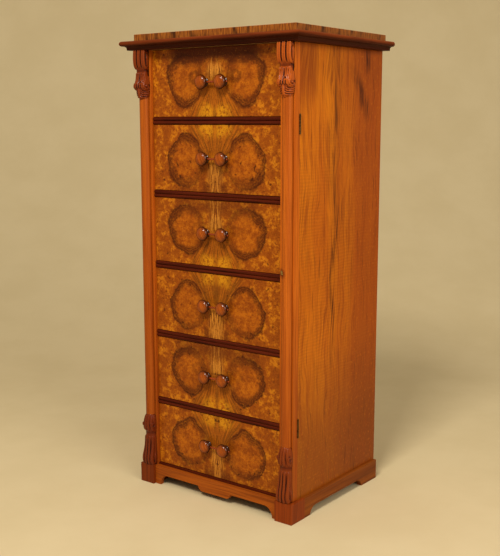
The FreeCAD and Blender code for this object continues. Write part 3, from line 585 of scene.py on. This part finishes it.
joinery = {  # each node's finish, and how far its edges are eased
    "left_stile": ("stile", 0.8), "left_column": ("column", 0.3),
    "flap_stile": ("stile", 0.8), "flap_column": ("column", 0.3),
    "cornice_front": ("corniceX", 0.5), "cornice_left": ("corniceY", 0.5), "cornice_right": ("corniceY", 0.5),
    "drawer_rails": ("mahoganyX", 0.3), "bottom_rail": ("mahoganyX", 0.8),
    "plinth_blocks": ("block", 1.2), "front_apron": ("plinthX", 0.8),
    "left_apron": ("plinthY", 0.8), "right_apron": ("plinthY", 0.8),
    "back_boards": ("pineZ", 1.2), "bottom_board": ("pineX", 0.6), "case_top": ("pineX", 0.6),
    "dust_boards": ("pineX", 0.6), "drawer_guides": ("pineY", 0.6), "drawer_stops": ("pineX", 0.6),
    "back_plinth_rail": ("pineX", 1.0), "glue_blocks": ("pineX", 1.0),
    "hinge_case_leaves": ("hinge", 0.2), "hinge_flap_leaves": ("hinge", 0.2), "hinge_pins": ("hinge", 0.3),
    "escutcheon": ("brass", 0.3), "lock_case": ("brass", 0.4), "lock_bolt": ("brass", 0.5),
    "strike_plate": ("brass", 0.2),
}
for node, (name, ease) in joinery.items():
    wear(workedCopy(node, ease * mm), name)

leftWay, rightWay = Vector((-1, 0, 0)), Vector((1, 0, 0))
topWay, frontWay = Vector((0, 0, 1)), Vector((0, -1, 0))
veneered = {  # the wood under the veneer, the veneer, the way it faces and how far the edges are eased
    "left_side_panel": ("pineZ", "otherSide", leftWay, 0.5),
    "right_side_panel": ("pineZ", "side", rightWay, 0.5),
    "lock_stile": ("lockStile", "side", rightWay, 0.5),
    "top_slab": ("band", "topX", topWay, 1.2),
}
for node, (under, name, facing, ease) in veneered.items():
    panel = workedCopy(node, ease * mm)
    wear(panel, under, name)
    coverFaces(panel, 1, facing)
print("joinery worked:", len(joinery) + len(veneered))


# Drawers

drawerEase = {"front": 0.9 * mm, "box": 0.8 * mm, "bottom": 0.4 * mm}


def dressDrawer(number):
    front = workedCopy(f"drawer_{number}_front", drawerEase["front"])
    low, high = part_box(f"drawer_{number}_front")
    flip = 1 if number % 2 else -1
    name = f"burr{number}"
    finishes[name] = burrVeneer(number, (low.z + high.z) / 2 / mm, flip)
    wear(front, "core", name)
    coverFaces(front, 1, frontWay)
    wear(workedCopy(f"drawer_{number}_box", drawerEase["box"]), "liningY")
    wear(workedCopy(f"drawer_{number}_bottom", drawerEase["bottom"]), "liningX")


for number in range(1, len(drawers) + 1):
    dressDrawer(number)
print("drawers dressed:", len(drawers))


# Pulls

pull = {
    "spacing": 64 * mm, "neck": 8.3 * mm, "neckReach": 8 * mm, "rimReach": 17.3 * mm,
    "collar": 12 * mm, "collarDeep": 2.4 * mm, "collarEdge": 0.6 * mm, "collarEase": 0.8 * mm,
    "dome": (0.42, -0.36, 12), "back": (0.08, 0.52, 9), "hollowShade": (-0.06, 0.2, 6),  # bulges and points
    "rod": 2.4 * mm, "rodReach": 12.5 * mm, "rodEase": 0.45, "rodSides": 20,
    "steps": 40, "round": math.radians(40),
}


def drawLine(name, points):  # a line of vertices, drawn point by point
    selectNone()
    bpy.ops.mesh.primitive_plane_add(size=mm)
    line = bpy.context.object
    line.name = name
    editAll()
    bpy.ops.mesh.merge(type="CENTER")
    bpy.ops.transform.translate(value=points[0])
    for start, end in zip(points, points[1:]):
        bpy.ops.mesh.extrude_region_move(TRANSFORM_OT_translate={"value": end - start})
    return line


def turnLine(centre):  # turns the drawn line into a closed round piece, as on a lathe
    bpy.ops.mesh.select_all(action="SELECT")
    bpy.ops.mesh.spin(steps=pull["steps"], angle=2 * math.pi, center=centre, axis=(0, 1, 0))
    bpy.ops.mesh.select_all(action="SELECT")
    bpy.ops.mesh.remove_doubles(threshold=worked["merge"])
    bpy.ops.mesh.normals_make_consistent(inside=False)
    editDone()
    bpy.ops.object.shade_smooth_by_angle(angle=pull["round"])


def makePull(number):
    low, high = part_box(f"drawer_{number}_pull")
    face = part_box(f"drawer_{number}_front")[0].y
    level = (low.z + high.z) / 2
    head = (high.z - low.z) / 2
    middle = pull["spacing"] / 2

    def spot(radius, reach):
        return Vector((middle + radius, face - reach, level))

    def arc(start, end, shape):  # a soft arc that bulges out by the head's size and along by its own
        out, along, count = pull[shape]
        bend = (start + end) / 2 + Vector((head * out, abs(end.y - start.y) * along, 0))
        points = []
        for step in range(1, count + 1):
            share = step / count
            points.append(start.lerp(bend, share).lerp(bend.lerp(end, share), share))
        return points

    tip = spot(0, face - low.y)
    rim = spot(head, pull["rimReach"])
    neck = spot(pull["neck"], pull["neckReach"])
    collar = spot(pull["collar"], pull["collarDeep"])
    line = [tip] + arc(tip, rim, "dome") + arc(rim, neck, "back") + arc(neck, collar, "hollowShade")
    line += [spot(pull["collar"], pull["collarEdge"]), spot(pull["collar"] - pull["collarEase"], 0)]
    line.append(spot(0, 0))
    knob = drawLine(f"pull_{number}", line)
    turnLine((middle, face, level))
    wear(knob, "knob")
    other = ownCopy("other_knob", knob.data)
    bpy.ops.transform.translate(value=(-pull["spacing"], 0, 0))
    bpy.ops.object.transform_apply(location=True)
    selectNone()
    place = (0, face - pull["rodReach"], level)
    bpy.ops.mesh.primitive_cylinder_add(vertices=pull["rodSides"], radius=pull["rod"], depth=high.x - low.x,
                                        location=place, rotation=(0, math.pi / 2, 0))
    rod = bpy.context.object
    bpy.ops.object.transform_apply(location=True, rotation=True)
    wear(rod, "rod")
    shaped(rod, "BEVEL", width=pull["rod"] * pull["rodEase"], segments=3, limit_method="ANGLE")
    bpy.ops.object.shade_smooth_by_angle(angle=pull["round"])
    for piece in (rod, other, knob):
        piece.select_set(True)
    bpy.context.view_layer.objects.active = knob
    bpy.ops.object.join()
    settle(knob, [f"drawer_{number}_pull"])


for number in range(1, len(drawers) + 1):
    makePull(number)
print("pulls turned:", len(drawers))


# Carvings

carving = {
    "voxel": 0.7 * mm, "keep": 0.45, "boxy": 0.32, "oval": 0.97, "cornerSteps": 10,
    "rub": (0.5, 2), "skin": 1.12, "whorlShrink": 0.35, "round": math.radians(60),
}
rightHand, leftHand = 1, -1

corbel = {
    "core": [  # down the corbel: drop, half-width, how far it stands proud
        (0, 17.2, 18.2), (-36, 17.2, 18.4), (-45, 17.2, 17), (-49, 17, 15.8), (-57, 16.6, 15.7),
        (-66, 16.6, 15.8), (-74, 17.2, 16.4), (-80, 18.4, 18), (-86, 19.8, 20.8), (-92, 20.6, 22.6),
        (-100, 20.4, 22), (-106, 19.6, 20.6),
    ],
    "tip": [
        (-70, 18, 15), (-92, 20, 21), (-106, 19.8, 22), (-114, 18.6, 21.8), (-121, 17, 20.8),
        (-126, 13.5, 19.4), (-129.4, 9, 18), (-131, 5, 17),
    ],
    "reeds": [(1, 22), (-10, 23.2), (-22, 23.8), (-34, 23), (-42, 21), (-47, 18), (-49.6, 14)],
    "reedPlaces": (-17.4, -11.7, -2.8, 2.8, 11.7, 17.4), "reedRound": 3.5,
    "lobe": [(-8, 1.8), (-13, 3.2), (-21, 3.8), (-30, 3.6), (-38, 2.8), (-44, 1.4)],
    "lobePlace": (16.6, (5.4, 10.2)), "lobeMiddle": 7.8, "lobeFull": 4,
    "knuckle": (18.6, -9, -47.5, 3.4), "knuckleTurn": (0.5, 5.2, 9), "knuckleRound": 1.5,
    "veins": [(14.6, 13), (9.6, 8.6), (4.4, 4.6)], "veinTop": -60, "veinRun": 32, "veinLift": 0.3,
    "veinShares": (0, 0.3, 0.6, 0.85, 1), "veinRounds": [2.0, 2.2, 2.3, 2.2, 1.8],
    "heart": (14.5, -95), "heartRises": (2.6, 0, -2.6), "heartLift": 0.4, "heartRounds": [2.4, 3.2, 2.4],
    "rings": (7.2, 11.8, 16.4, 21, 25.6, 30.2, 34.8), "ringArc": (70, 230, 40), "ringLift": 0.3,
    "ringRound": 1.8, "ringRuns": (1, 27), "ringLevels": (-129, -87), "tipFrom": -103,
    "folds": (-17.5, -11, -4, 4, 11, 17.5), "foldPath": ((-87, -1), (-91, 0.6), (-96, 0.8), (-101, 0)),
    "foldRounds": [2.2, 2.9, 2.9, 2.0],
    "rib": (-98, -106, -114, -122, -129), "ribLift": -1.6, "ribRounds": [4.2, 4.6, 4.4, 3.8, 2.6],
    "eye": {"x": 5.6, "level": -85, "size": 1.9, "spread": 1.4, "deep": 2.4, "front": -10},
    "undercut": (-54, 5),
}
scroll = {
    "foot": [  # up the scroll: rise, half-width, how far it stands proud
        (0, 15.6, 16.6), (6, 16.8, 18.6), (14, 18.2, 20), (24, 18.6, 19.8), (34, 18, 17.6), (40, 17, 15.6),
    ],
    "core": [
        (0, 16.2, 16.4), (6, 17.6, 18.4), (14, 19.2, 20.2), (24, 19.8, 20.4), (34, 19.4, 19), (45, 18.6, 17),
        (65, 18.4, 15.7), (80, 18.2, 15.6), (87, 17.6, 15.5), (97, 17.6, 15.5), (99.5, 18.4, 17),
        (105, 19, 19.6), (113, 19.2, 20.6), (122, 19.2, 20.6), (131, 18.8, 19.8), (139, 18, 18),
        (146, 16, 16.4), (150, 13.5, 15.2),
    ],
    "reedFeet": (-16, -5.4, 5.4, 16), "reedTops": (-12.9, -4.3, 4.3, 12.9), "reedTaper": 60, "reedLift": -1.6,
    "reedPath": (  # rise, and how round the core is there
        (-2, 0.3), (6, 0.35), (14, 0.4), (24, 0.5), (40, 0.75), (60, 0.97), (76, 0.97), (85, 0.97),
    ),
    "reedRounds": [4.8, 5.2, 5.4, 5.3, 4.7, 4.4, 4.2, 3.4],
    "rollFeet": (-14.4, -4.8, 4.8, 14.4), "rollTops": (-9.6, -3.2, 3.2, 9.6),
    "rollFoot": 101, "rollRun": 48, "rollLift": -2.0,
    "rollShares": (0, 0.1, 0.28, 0.48, 0.68, 0.86, 1), "rollRounds": [4.2, 4.8, 5.0, 4.8, 4.2, 3.4, 2.4],
    "drop": [(2, 3.4), (8, 4.6), (16, 4.4), (26, 3.6), (34, 2.4), (41, 1.2)],
    "dropPlace": (17.6, 7), "dropLean": (0.02, 0.06),
    "whorl": (18.2, -10, 119, 7.4), "whorlTurn": (2.2, 6.6, 15), "whorlRound": 1.8,
    "button": (12, 16, 18), "buttonRounds": [3.2, 3.0, 2.2], "undercut": (93, 6),
}


def between(stations, level):  # half-width and proud of a core at one level
    first, last = stations[0], stations[-1]
    for start, end in zip(stations, stations[1:]):
        if min(start[0], end[0]) <= level <= max(start[0], end[0]):
            share = (level - start[0]) / (end[0] - start[0])
            return start[1] + (end[1] - start[1]) * share, start[2] + (end[2] - start[2]) * share
    nearest = first if abs(level - first[0]) < abs(level - last[0]) else last
    return nearest[1], nearest[2]


def onCore(stations, rounding, x, level, lift):  # a spot on the face of a core, lifted off it
    wide, proud = between(stations, level)
    inset = max(0.0, min(abs(x) / wide, 0.995) - (1 - rounding)) / rounding
    depth = proud * (1 - rounding + rounding * math.sqrt(1 - inset * inset))
    return Vector((x, -(depth + lift), level))


def roundCore(stations, rounding, hand, run, level, lift):  # a spot on the way round a core
    wide, proud = between(stations, level)
    side = proud * (1 - rounding)
    corner = math.pi / 2 * rounding * math.hypot(wide, proud) / math.sqrt(2)
    turn = math.pi / 2 * min(max((run - side) / corner, 0.0), 1.0)
    x = wide * (1 - rounding + rounding * math.cos(turn)) - max(run - side - corner, 0.0)
    depth = min(run, side) + proud * rounding * math.sin(turn)
    return Vector((hand * (x + lift * math.cos(turn)), -(depth + lift * math.sin(turn)), level))


def strand(points, rounds):  # a tapering round strand through points
    line = drawLine("strand", [point * mm for point in points])
    editDone()
    line.modifiers.new("skin", "SKIN")
    for knot, size in zip(line.data.skin_vertices[0].data, rounds):
        knot.radius = (size * carving["skin"] * mm, size * carving["skin"] * mm)
    bpy.ops.object.modifier_apply(modifier="skin")
    shaped(line, "SUBSURF", levels=2, render_levels=2)
    return line


def coreBar(stations, rounding):  # a bar with rounded sections, grown level by level
    selectNone()
    bpy.ops.mesh.primitive_plane_add(size=2 * mm)
    core = bpy.context.object
    editAll()
    bpy.ops.mesh.bevel(offset=rounding * mm, segments=carving["cornerSteps"], affect="VERTICES")
    bpy.ops.mesh.select_all(action="SELECT")
    level, wide, proud = stations[0]
    bpy.ops.transform.resize(value=(wide, proud, 1))
    bpy.ops.transform.translate(value=(0, 0, level * mm))
    for nextLevel, nextWide, nextProud in stations[1:]:
        step = (0, 0, (nextLevel - level) * mm)
        bpy.ops.mesh.extrude_region_move(TRANSFORM_OT_translate={"value": step})
        share = (nextWide / wide, nextProud / proud, 1)
        bpy.ops.transform.resize(value=share, center_override=(0, 0, nextLevel * mm))
        level, wide, proud = nextLevel, nextWide, nextProud
    bpy.ops.mesh.select_all(action="SELECT")
    bpy.ops.mesh.normals_make_consistent(inside=False)
    editDone()
    return core


def whorl(side, y, z, size, start, turn, count):  # spots round a closing ring on the side of a carving
    spots = []
    for step in range(count):
        share = step / (count - 1)
        angle = start + turn * step / (count - 1)
        grow = size * (1 - carving["whorlShrink"] * share)
        spots.append(Vector((side, y + grow * math.cos(angle), z + grow * math.sin(angle))))
    return spots


def carveBarrel():  # the reeded roll under the cornice, with a petal on each side
    parts = []
    for x in corbel["reedPlaces"]:
        path = [Vector((x, -(proud - corbel["reedRound"]), level)) for level, proud in corbel["reeds"]]
        parts.append(strand(path, [corbel["reedRound"]] * len(path)))
    x, depths = corbel["lobePlace"]
    middle, full = corbel["lobeMiddle"], corbel["lobeFull"]
    side, back, level, size = corbel["knuckle"]
    for hand in (rightHand, leftHand):
        for y in depths:
            path = []
            for drop, thick in corbel["lobe"]:
                path.append(Vector((hand * x, -middle + (middle - y) * thick / full, drop)))
            parts.append(strand(path, [thick for drop, thick in corbel["lobe"]]))
        path = whorl(hand * side, back, level, size, *corbel["knuckleTurn"])
        parts.append(strand(path, [corbel["knuckleRound"]] * len(path)))
    return parts


def carveLeaf(hand):  # half of the leaf: veins down to the folds, and rings round the heart of its curl
    core, boxy, tip = corbel["core"], carving["boxy"], corbel["tip"]
    parts = []
    for high, low in corbel["veins"]:
        path = []
        for share in corbel["veinShares"]:
            x = hand * (high + (low - high) * share)
            drop = corbel["veinTop"] - corbel["veinRun"] * share
            path.append(onCore(core, boxy, x, drop, corbel["veinLift"]))
        parts.append(strand(path, corbel["veinRounds"]))
    run, level = corbel["heart"]
    lift = corbel["heartLift"]
    path = [roundCore(core, boxy, hand, run, level + rise, lift) for rise in corbel["heartRises"]]
    parts.append(strand(path, corbel["heartRounds"]))
    start, turn, count = corbel["ringArc"]
    runLow, runHigh = corbel["ringRuns"]
    levelLow, levelHigh = corbel["ringLevels"]
    for size in corbel["rings"]:
        path = []
        for step in range(count + 1):
            angle = math.radians(start - turn * step / count)
            place = run + size * math.cos(angle)
            height = level + size * math.sin(angle)
            if runLow < place < runHigh and levelLow < height < levelHigh:
                stations, rounding = (core, boxy) if height > corbel["tipFrom"] else (tip, carving["oval"])
                path.append(roundCore(stations, rounding, hand, place, height, corbel["ringLift"]))
        if len(path) > 3:
            parts.append(strand(path, [corbel["ringRound"]] * len(path)))
    return parts


def carveCorbel():
    core, boxy, tip, oval = corbel["core"], carving["boxy"], corbel["tip"], carving["oval"]
    parts = [coreBar(core, boxy), coreBar(tip, oval)] + carveBarrel()
    for hand in (rightHand, leftHand):
        parts += carveLeaf(hand)
    for x in corbel["folds"]:
        path = [onCore(core, boxy, x, drop, lift) for drop, lift in corbel["foldPath"]]
        parts.append(strand(path, corbel["foldRounds"]))
    path = [onCore(tip, oval, 0, level, corbel["ribLift"]) for level in corbel["rib"]]
    parts.append(strand(path, corbel["ribRounds"]))
    return parts


def carveScroll():
    core, oval = scroll["core"], carving["oval"]
    parts = [coreBar(core, oval), coreBar(scroll["foot"], carving["boxy"])]
    for foot, head in zip(scroll["reedFeet"], scroll["reedTops"]):
        path = []
        for rise, rounding in scroll["reedPath"]:
            x = foot + (head - foot) * min(max(rise, 0) / scroll["reedTaper"], 1)
            path.append(onCore(core, rounding, x, rise, scroll["reedLift"]))
        parts.append(strand(path, scroll["reedRounds"]))
    for foot, head in zip(scroll["rollFeet"], scroll["rollTops"]):
        path = []
        for share in scroll["rollShares"]:
            rise = scroll["rollFoot"] + scroll["rollRun"] * share
            path.append(onCore(core, oval, foot + (head - foot) * share, rise, scroll["rollLift"]))
        parts.append(strand(path, scroll["rollRounds"]))
    x, y = scroll["dropPlace"]
    leanIn, leanBack = scroll["dropLean"]
    side, back, level, size = scroll["whorl"]
    for hand in (rightHand, leftHand):
        path = []
        for rise, thick in scroll["drop"]:
            path.append(Vector((hand * (x - leanIn * rise), -(y - leanBack * rise), rise)))
        parts.append(strand(path, [thick for rise, thick in scroll["drop"]]))
        path = whorl(hand * side, back, level, size, *scroll["whorlTurn"])
        parts.append(strand(path, [scroll["whorlRound"]] * len(path)))
        path = [Vector((hand * place, back, level)) for place in scroll["button"]]
        parts.append(strand(path, scroll["buttonRounds"]))
    return parts


def joinCarving(name, parts, ways):  # makes one body of the strands, rubs it down and saws it flat
    selectNone()
    for part in parts:
        part.select_set(True)
    piece = parts[0]
    bpy.context.view_layer.objects.active = piece
    bpy.ops.object.join()
    piece.name = name
    shaped(piece, "REMESH", mode="VOXEL", voxel_size=carving["voxel"])
    factor, times = carving["rub"]
    editAll()
    bpy.ops.mesh.vertices_smooth(factor=factor, repeat=times)
    editDone()
    shaped(piece, "DECIMATE", ratio=carving["keep"])
    for facing in ways:
        editAll()
        bpy.ops.mesh.bisect(plane_co=(0, 0, 0), plane_no=facing, use_fill=True, clear_outer=True)
        editDone()
    return piece


def drill(piece, eye):  # sinks a small eye into the carving's face
    for vertex in piece.data.vertices:
        gap = math.hypot(vertex.co.x - eye["x"] * mm, vertex.co.z - eye["level"] * mm) / (eye["size"] * mm)
        if gap < eye["spread"] and vertex.co.y < eye["front"] * mm:
            vertex.co.y += eye["deep"] * mm * max(0.0, 1 - (gap / eye["spread"]) ** 4)


hollows = {
    "reach": 12 * mm, "off": 0.4 * mm, "tilts": ((0.35, 4), (0.8, 6), (1.2, 6)),  # each tilt and its rays
    "seam": 2.5 * mm, "seamShare": 0.3, "neckShare": 0.2,
}


def noteHollows(piece, undercut):  # paints shade into a carving: how shut in by the carving round it each spot is, with a band under its undercut and its joint with the stile; 0 is open
    mesh = piece.data
    tree = BVHTree.FromPolygons([v.co for v in mesh.vertices], [face.vertices for face in mesh.polygons])
    rays = []
    for tilt, count in hollows["tilts"]:
        for step in range(count):
            turn = 2 * math.pi * (step + tilt) / count
            rays.append((math.sin(tilt) * math.cos(turn), math.sin(tilt) * math.sin(turn), math.cos(tilt)))
    levels = []
    for vertex in mesh.vertices:
        up = vertex.normal
        across = up.orthogonal().normalized()
        along = up.cross(across)
        shut = 0.0
        for x, y, z in rays:
            way = across * x + along * y + up * z
            gap = tree.ray_cast(vertex.co + up * hollows["off"], way, hollows["reach"])[3]
            if gap is not None:
                shut += 1 - gap / hollows["reach"]
        seam = max(0.0, 1 + vertex.co.y / hollows["seam"])  # dark along the joint with the stile
        # painted shade: a dark band under the undercut
        neck = max(0.0, 1 - (abs(vertex.co.z / mm - undercut[0]) / undercut[1]) ** 2)
        levels.append(max(shut / len(rays), hollows["seamShare"] * seam, hollows["neckShare"] * neck))
    mesh.attributes.new("hollowShade", "FLOAT", "POINT").data.foreach_set("value", levels)


def setCarving(master, node, shift):  # a copy of a carving at its place on a pilaster
    piece = ownCopy(node + "_carved", master.data)
    bpy.ops.transform.translate(value=shift)
    bpy.ops.object.transform_apply(location=True)
    bpy.ops.object.shade_smooth_by_angle(angle=carving["round"])
    wear(piece, "carved")
    settle(piece, [node])


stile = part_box("flap_stile")[0].y
backWay, bottomWay = -frontWay, -topWay
masters = {
    "corbel": joinCarving("corbel", carveCorbel(), [backWay, topWay]),
    "base_scroll": joinCarving("base_scroll", carveScroll(), [backWay, bottomWay]),
}
drill(masters["corbel"], corbel["eye"])
undercuts = {"corbel": corbel["undercut"], "base_scroll": scroll["undercut"]}
for kind, master in masters.items():
    noteHollows(master, undercuts[kind])
    print(kind, "cut:", len(master.data.polygons), "faces")
for side in ("left", "flap"):
    for kind, master in masters.items():
        low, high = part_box(f"{side}_{kind}")
        level = high.z if kind == "corbel" else low.z
        setCarving(master, f"{side}_{kind}", ((low.x + high.x) / 2, stile, level))
for master in masters.values():
    bpy.data.objects.remove(master)
print("carvings cut")


# Floor, lights and camera

studio = {
    "sheet": tone(208, 190, 151), "cloud": tone(196, 177, 136), "cloudSize": 300, "cloudShare": 0.4,
    "half": 6.0, "near": -5.0, "bendAt": 1.2, "bend": 2.6, "bendSteps": 24, "rise": 4.0, "rough": 0.85,
    "world": tone(222, 214, 196), "worldLevel": 0.5,
}
view = {
    "place": (1.6185, -2.1240, 1.0347), "pitch": 79.77, "yaw": 37.14,
    "focalPixels": 954.57, "centre": (259.78, 294.99), "image": (500, 556), "sensor": 36.0,
}


def layFloor():  # a sheet that lies under the chest and rises behind it in one sweep
    selectNone()
    bpy.ops.mesh.primitive_plane_add(size=2)
    floor = bpy.context.object
    floor.name = "studio_floor"
    editAll()
    depth = studio["bendAt"] - studio["near"]
    bpy.ops.transform.resize(value=(studio["half"], depth / 2, 1))
    bpy.ops.transform.translate(value=(0, (studio["bendAt"] + studio["near"]) / 2, 0))
    bpy.ops.mesh.select_all(action="DESELECT")
    editDone()
    for edge in floor.data.edges:
        edge.select = all(floor.data.vertices[end].co.y > 0 for end in edge.vertices)
    bpy.ops.object.mode_set(mode="EDIT")
    bpy.ops.mesh.select_mode(type="EDGE")
    centre = (0, studio["bendAt"], studio["bend"])
    bpy.ops.mesh.spin(steps=studio["bendSteps"], angle=-math.pi / 2, center=centre, axis=(1, 0, 0))
    bpy.ops.mesh.extrude_region_move(TRANSFORM_OT_translate={"value": (0, 0, studio["rise"])})
    bpy.ops.mesh.select_all(action="SELECT")
    bpy.ops.mesh.remove_doubles(threshold=mm)
    bpy.ops.mesh.normals_make_consistent(inside=False)
    editDone()
    floor.rotation_euler = (0, 0, math.radians(view["yaw"]))
    bpy.ops.object.transform_apply(rotation=True)
    bpy.ops.object.shade_smooth()
    bench = Bench("studioFloor")
    cloud = bench.noise(bench.point(*(axis / studio["cloudSize"] for axis in bench.place())), 4.0, 0.6)
    bench.colour = studio["sheet"]
    bench.lay(bench.ramp(cloud, 0.3, 0.7) * studio["cloudShare"], studio["cloud"])
    floor.data.materials.append(bench.finish(studio["rough"]))


layFloor()

lamps = {
    "key": {"place": (1.0, -3.3, 4.1), "aim": (0, 0, 0.6), "size": 1.3, "power": 192,
            "colour": (1.0, 0.94, 0.84)},
    "fill": {"place": (3.8, -1.4, 2.4), "aim": (0.1, 0, 0.6), "size": 2.4, "power": 92,
             "colour": (1.0, 0.95, 0.87)},
    "overhead": {"place": (0.4, -0.6, 4.0), "aim": (0, 0, 0), "size": 2.6, "power": 10,
                 "colour": (1.0, 0.96, 0.9)},
}
for name, lamp in lamps.items():
    bpy.ops.object.light_add(type="AREA", location=lamp["place"])
    light = bpy.context.object
    light.name = name
    light.data.size = lamp["size"]
    light.data.energy = lamp["power"]
    light.data.color = lamp["colour"]
    light.rotation_euler = (Vector(lamp["aim"]) - Vector(lamp["place"])).to_track_quat("-Z", "Y").to_euler()

world = bpy.data.worlds.new("studio")
bpy.context.scene.world = world
world.use_nodes = True
background = world.node_tree.nodes["Background"].inputs
background["Color"].default_value = studio["world"]
background["Strength"].default_value = studio["worldLevel"]

bpy.ops.object.camera_add(location=view["place"])
camera = bpy.context.object
camera.rotation_euler = (math.radians(view["pitch"]), 0, math.radians(view["yaw"]))
camera.data.sensor_fit = "VERTICAL"
camera.data.sensor_height = view["sensor"]
camera.data.lens = view["focalPixels"] / view["image"][1] * view["sensor"]
camera.data.shift_x = (view["image"][0] / 2 - view["centre"][0]) / view["image"][1]
camera.data.shift_y = (view["centre"][1] - view["image"][1] / 2) / view["image"][1]
bpy.context.scene.camera = camera
bpy.context.scene.view_settings.view_transform = "Standard"
print("studio set")
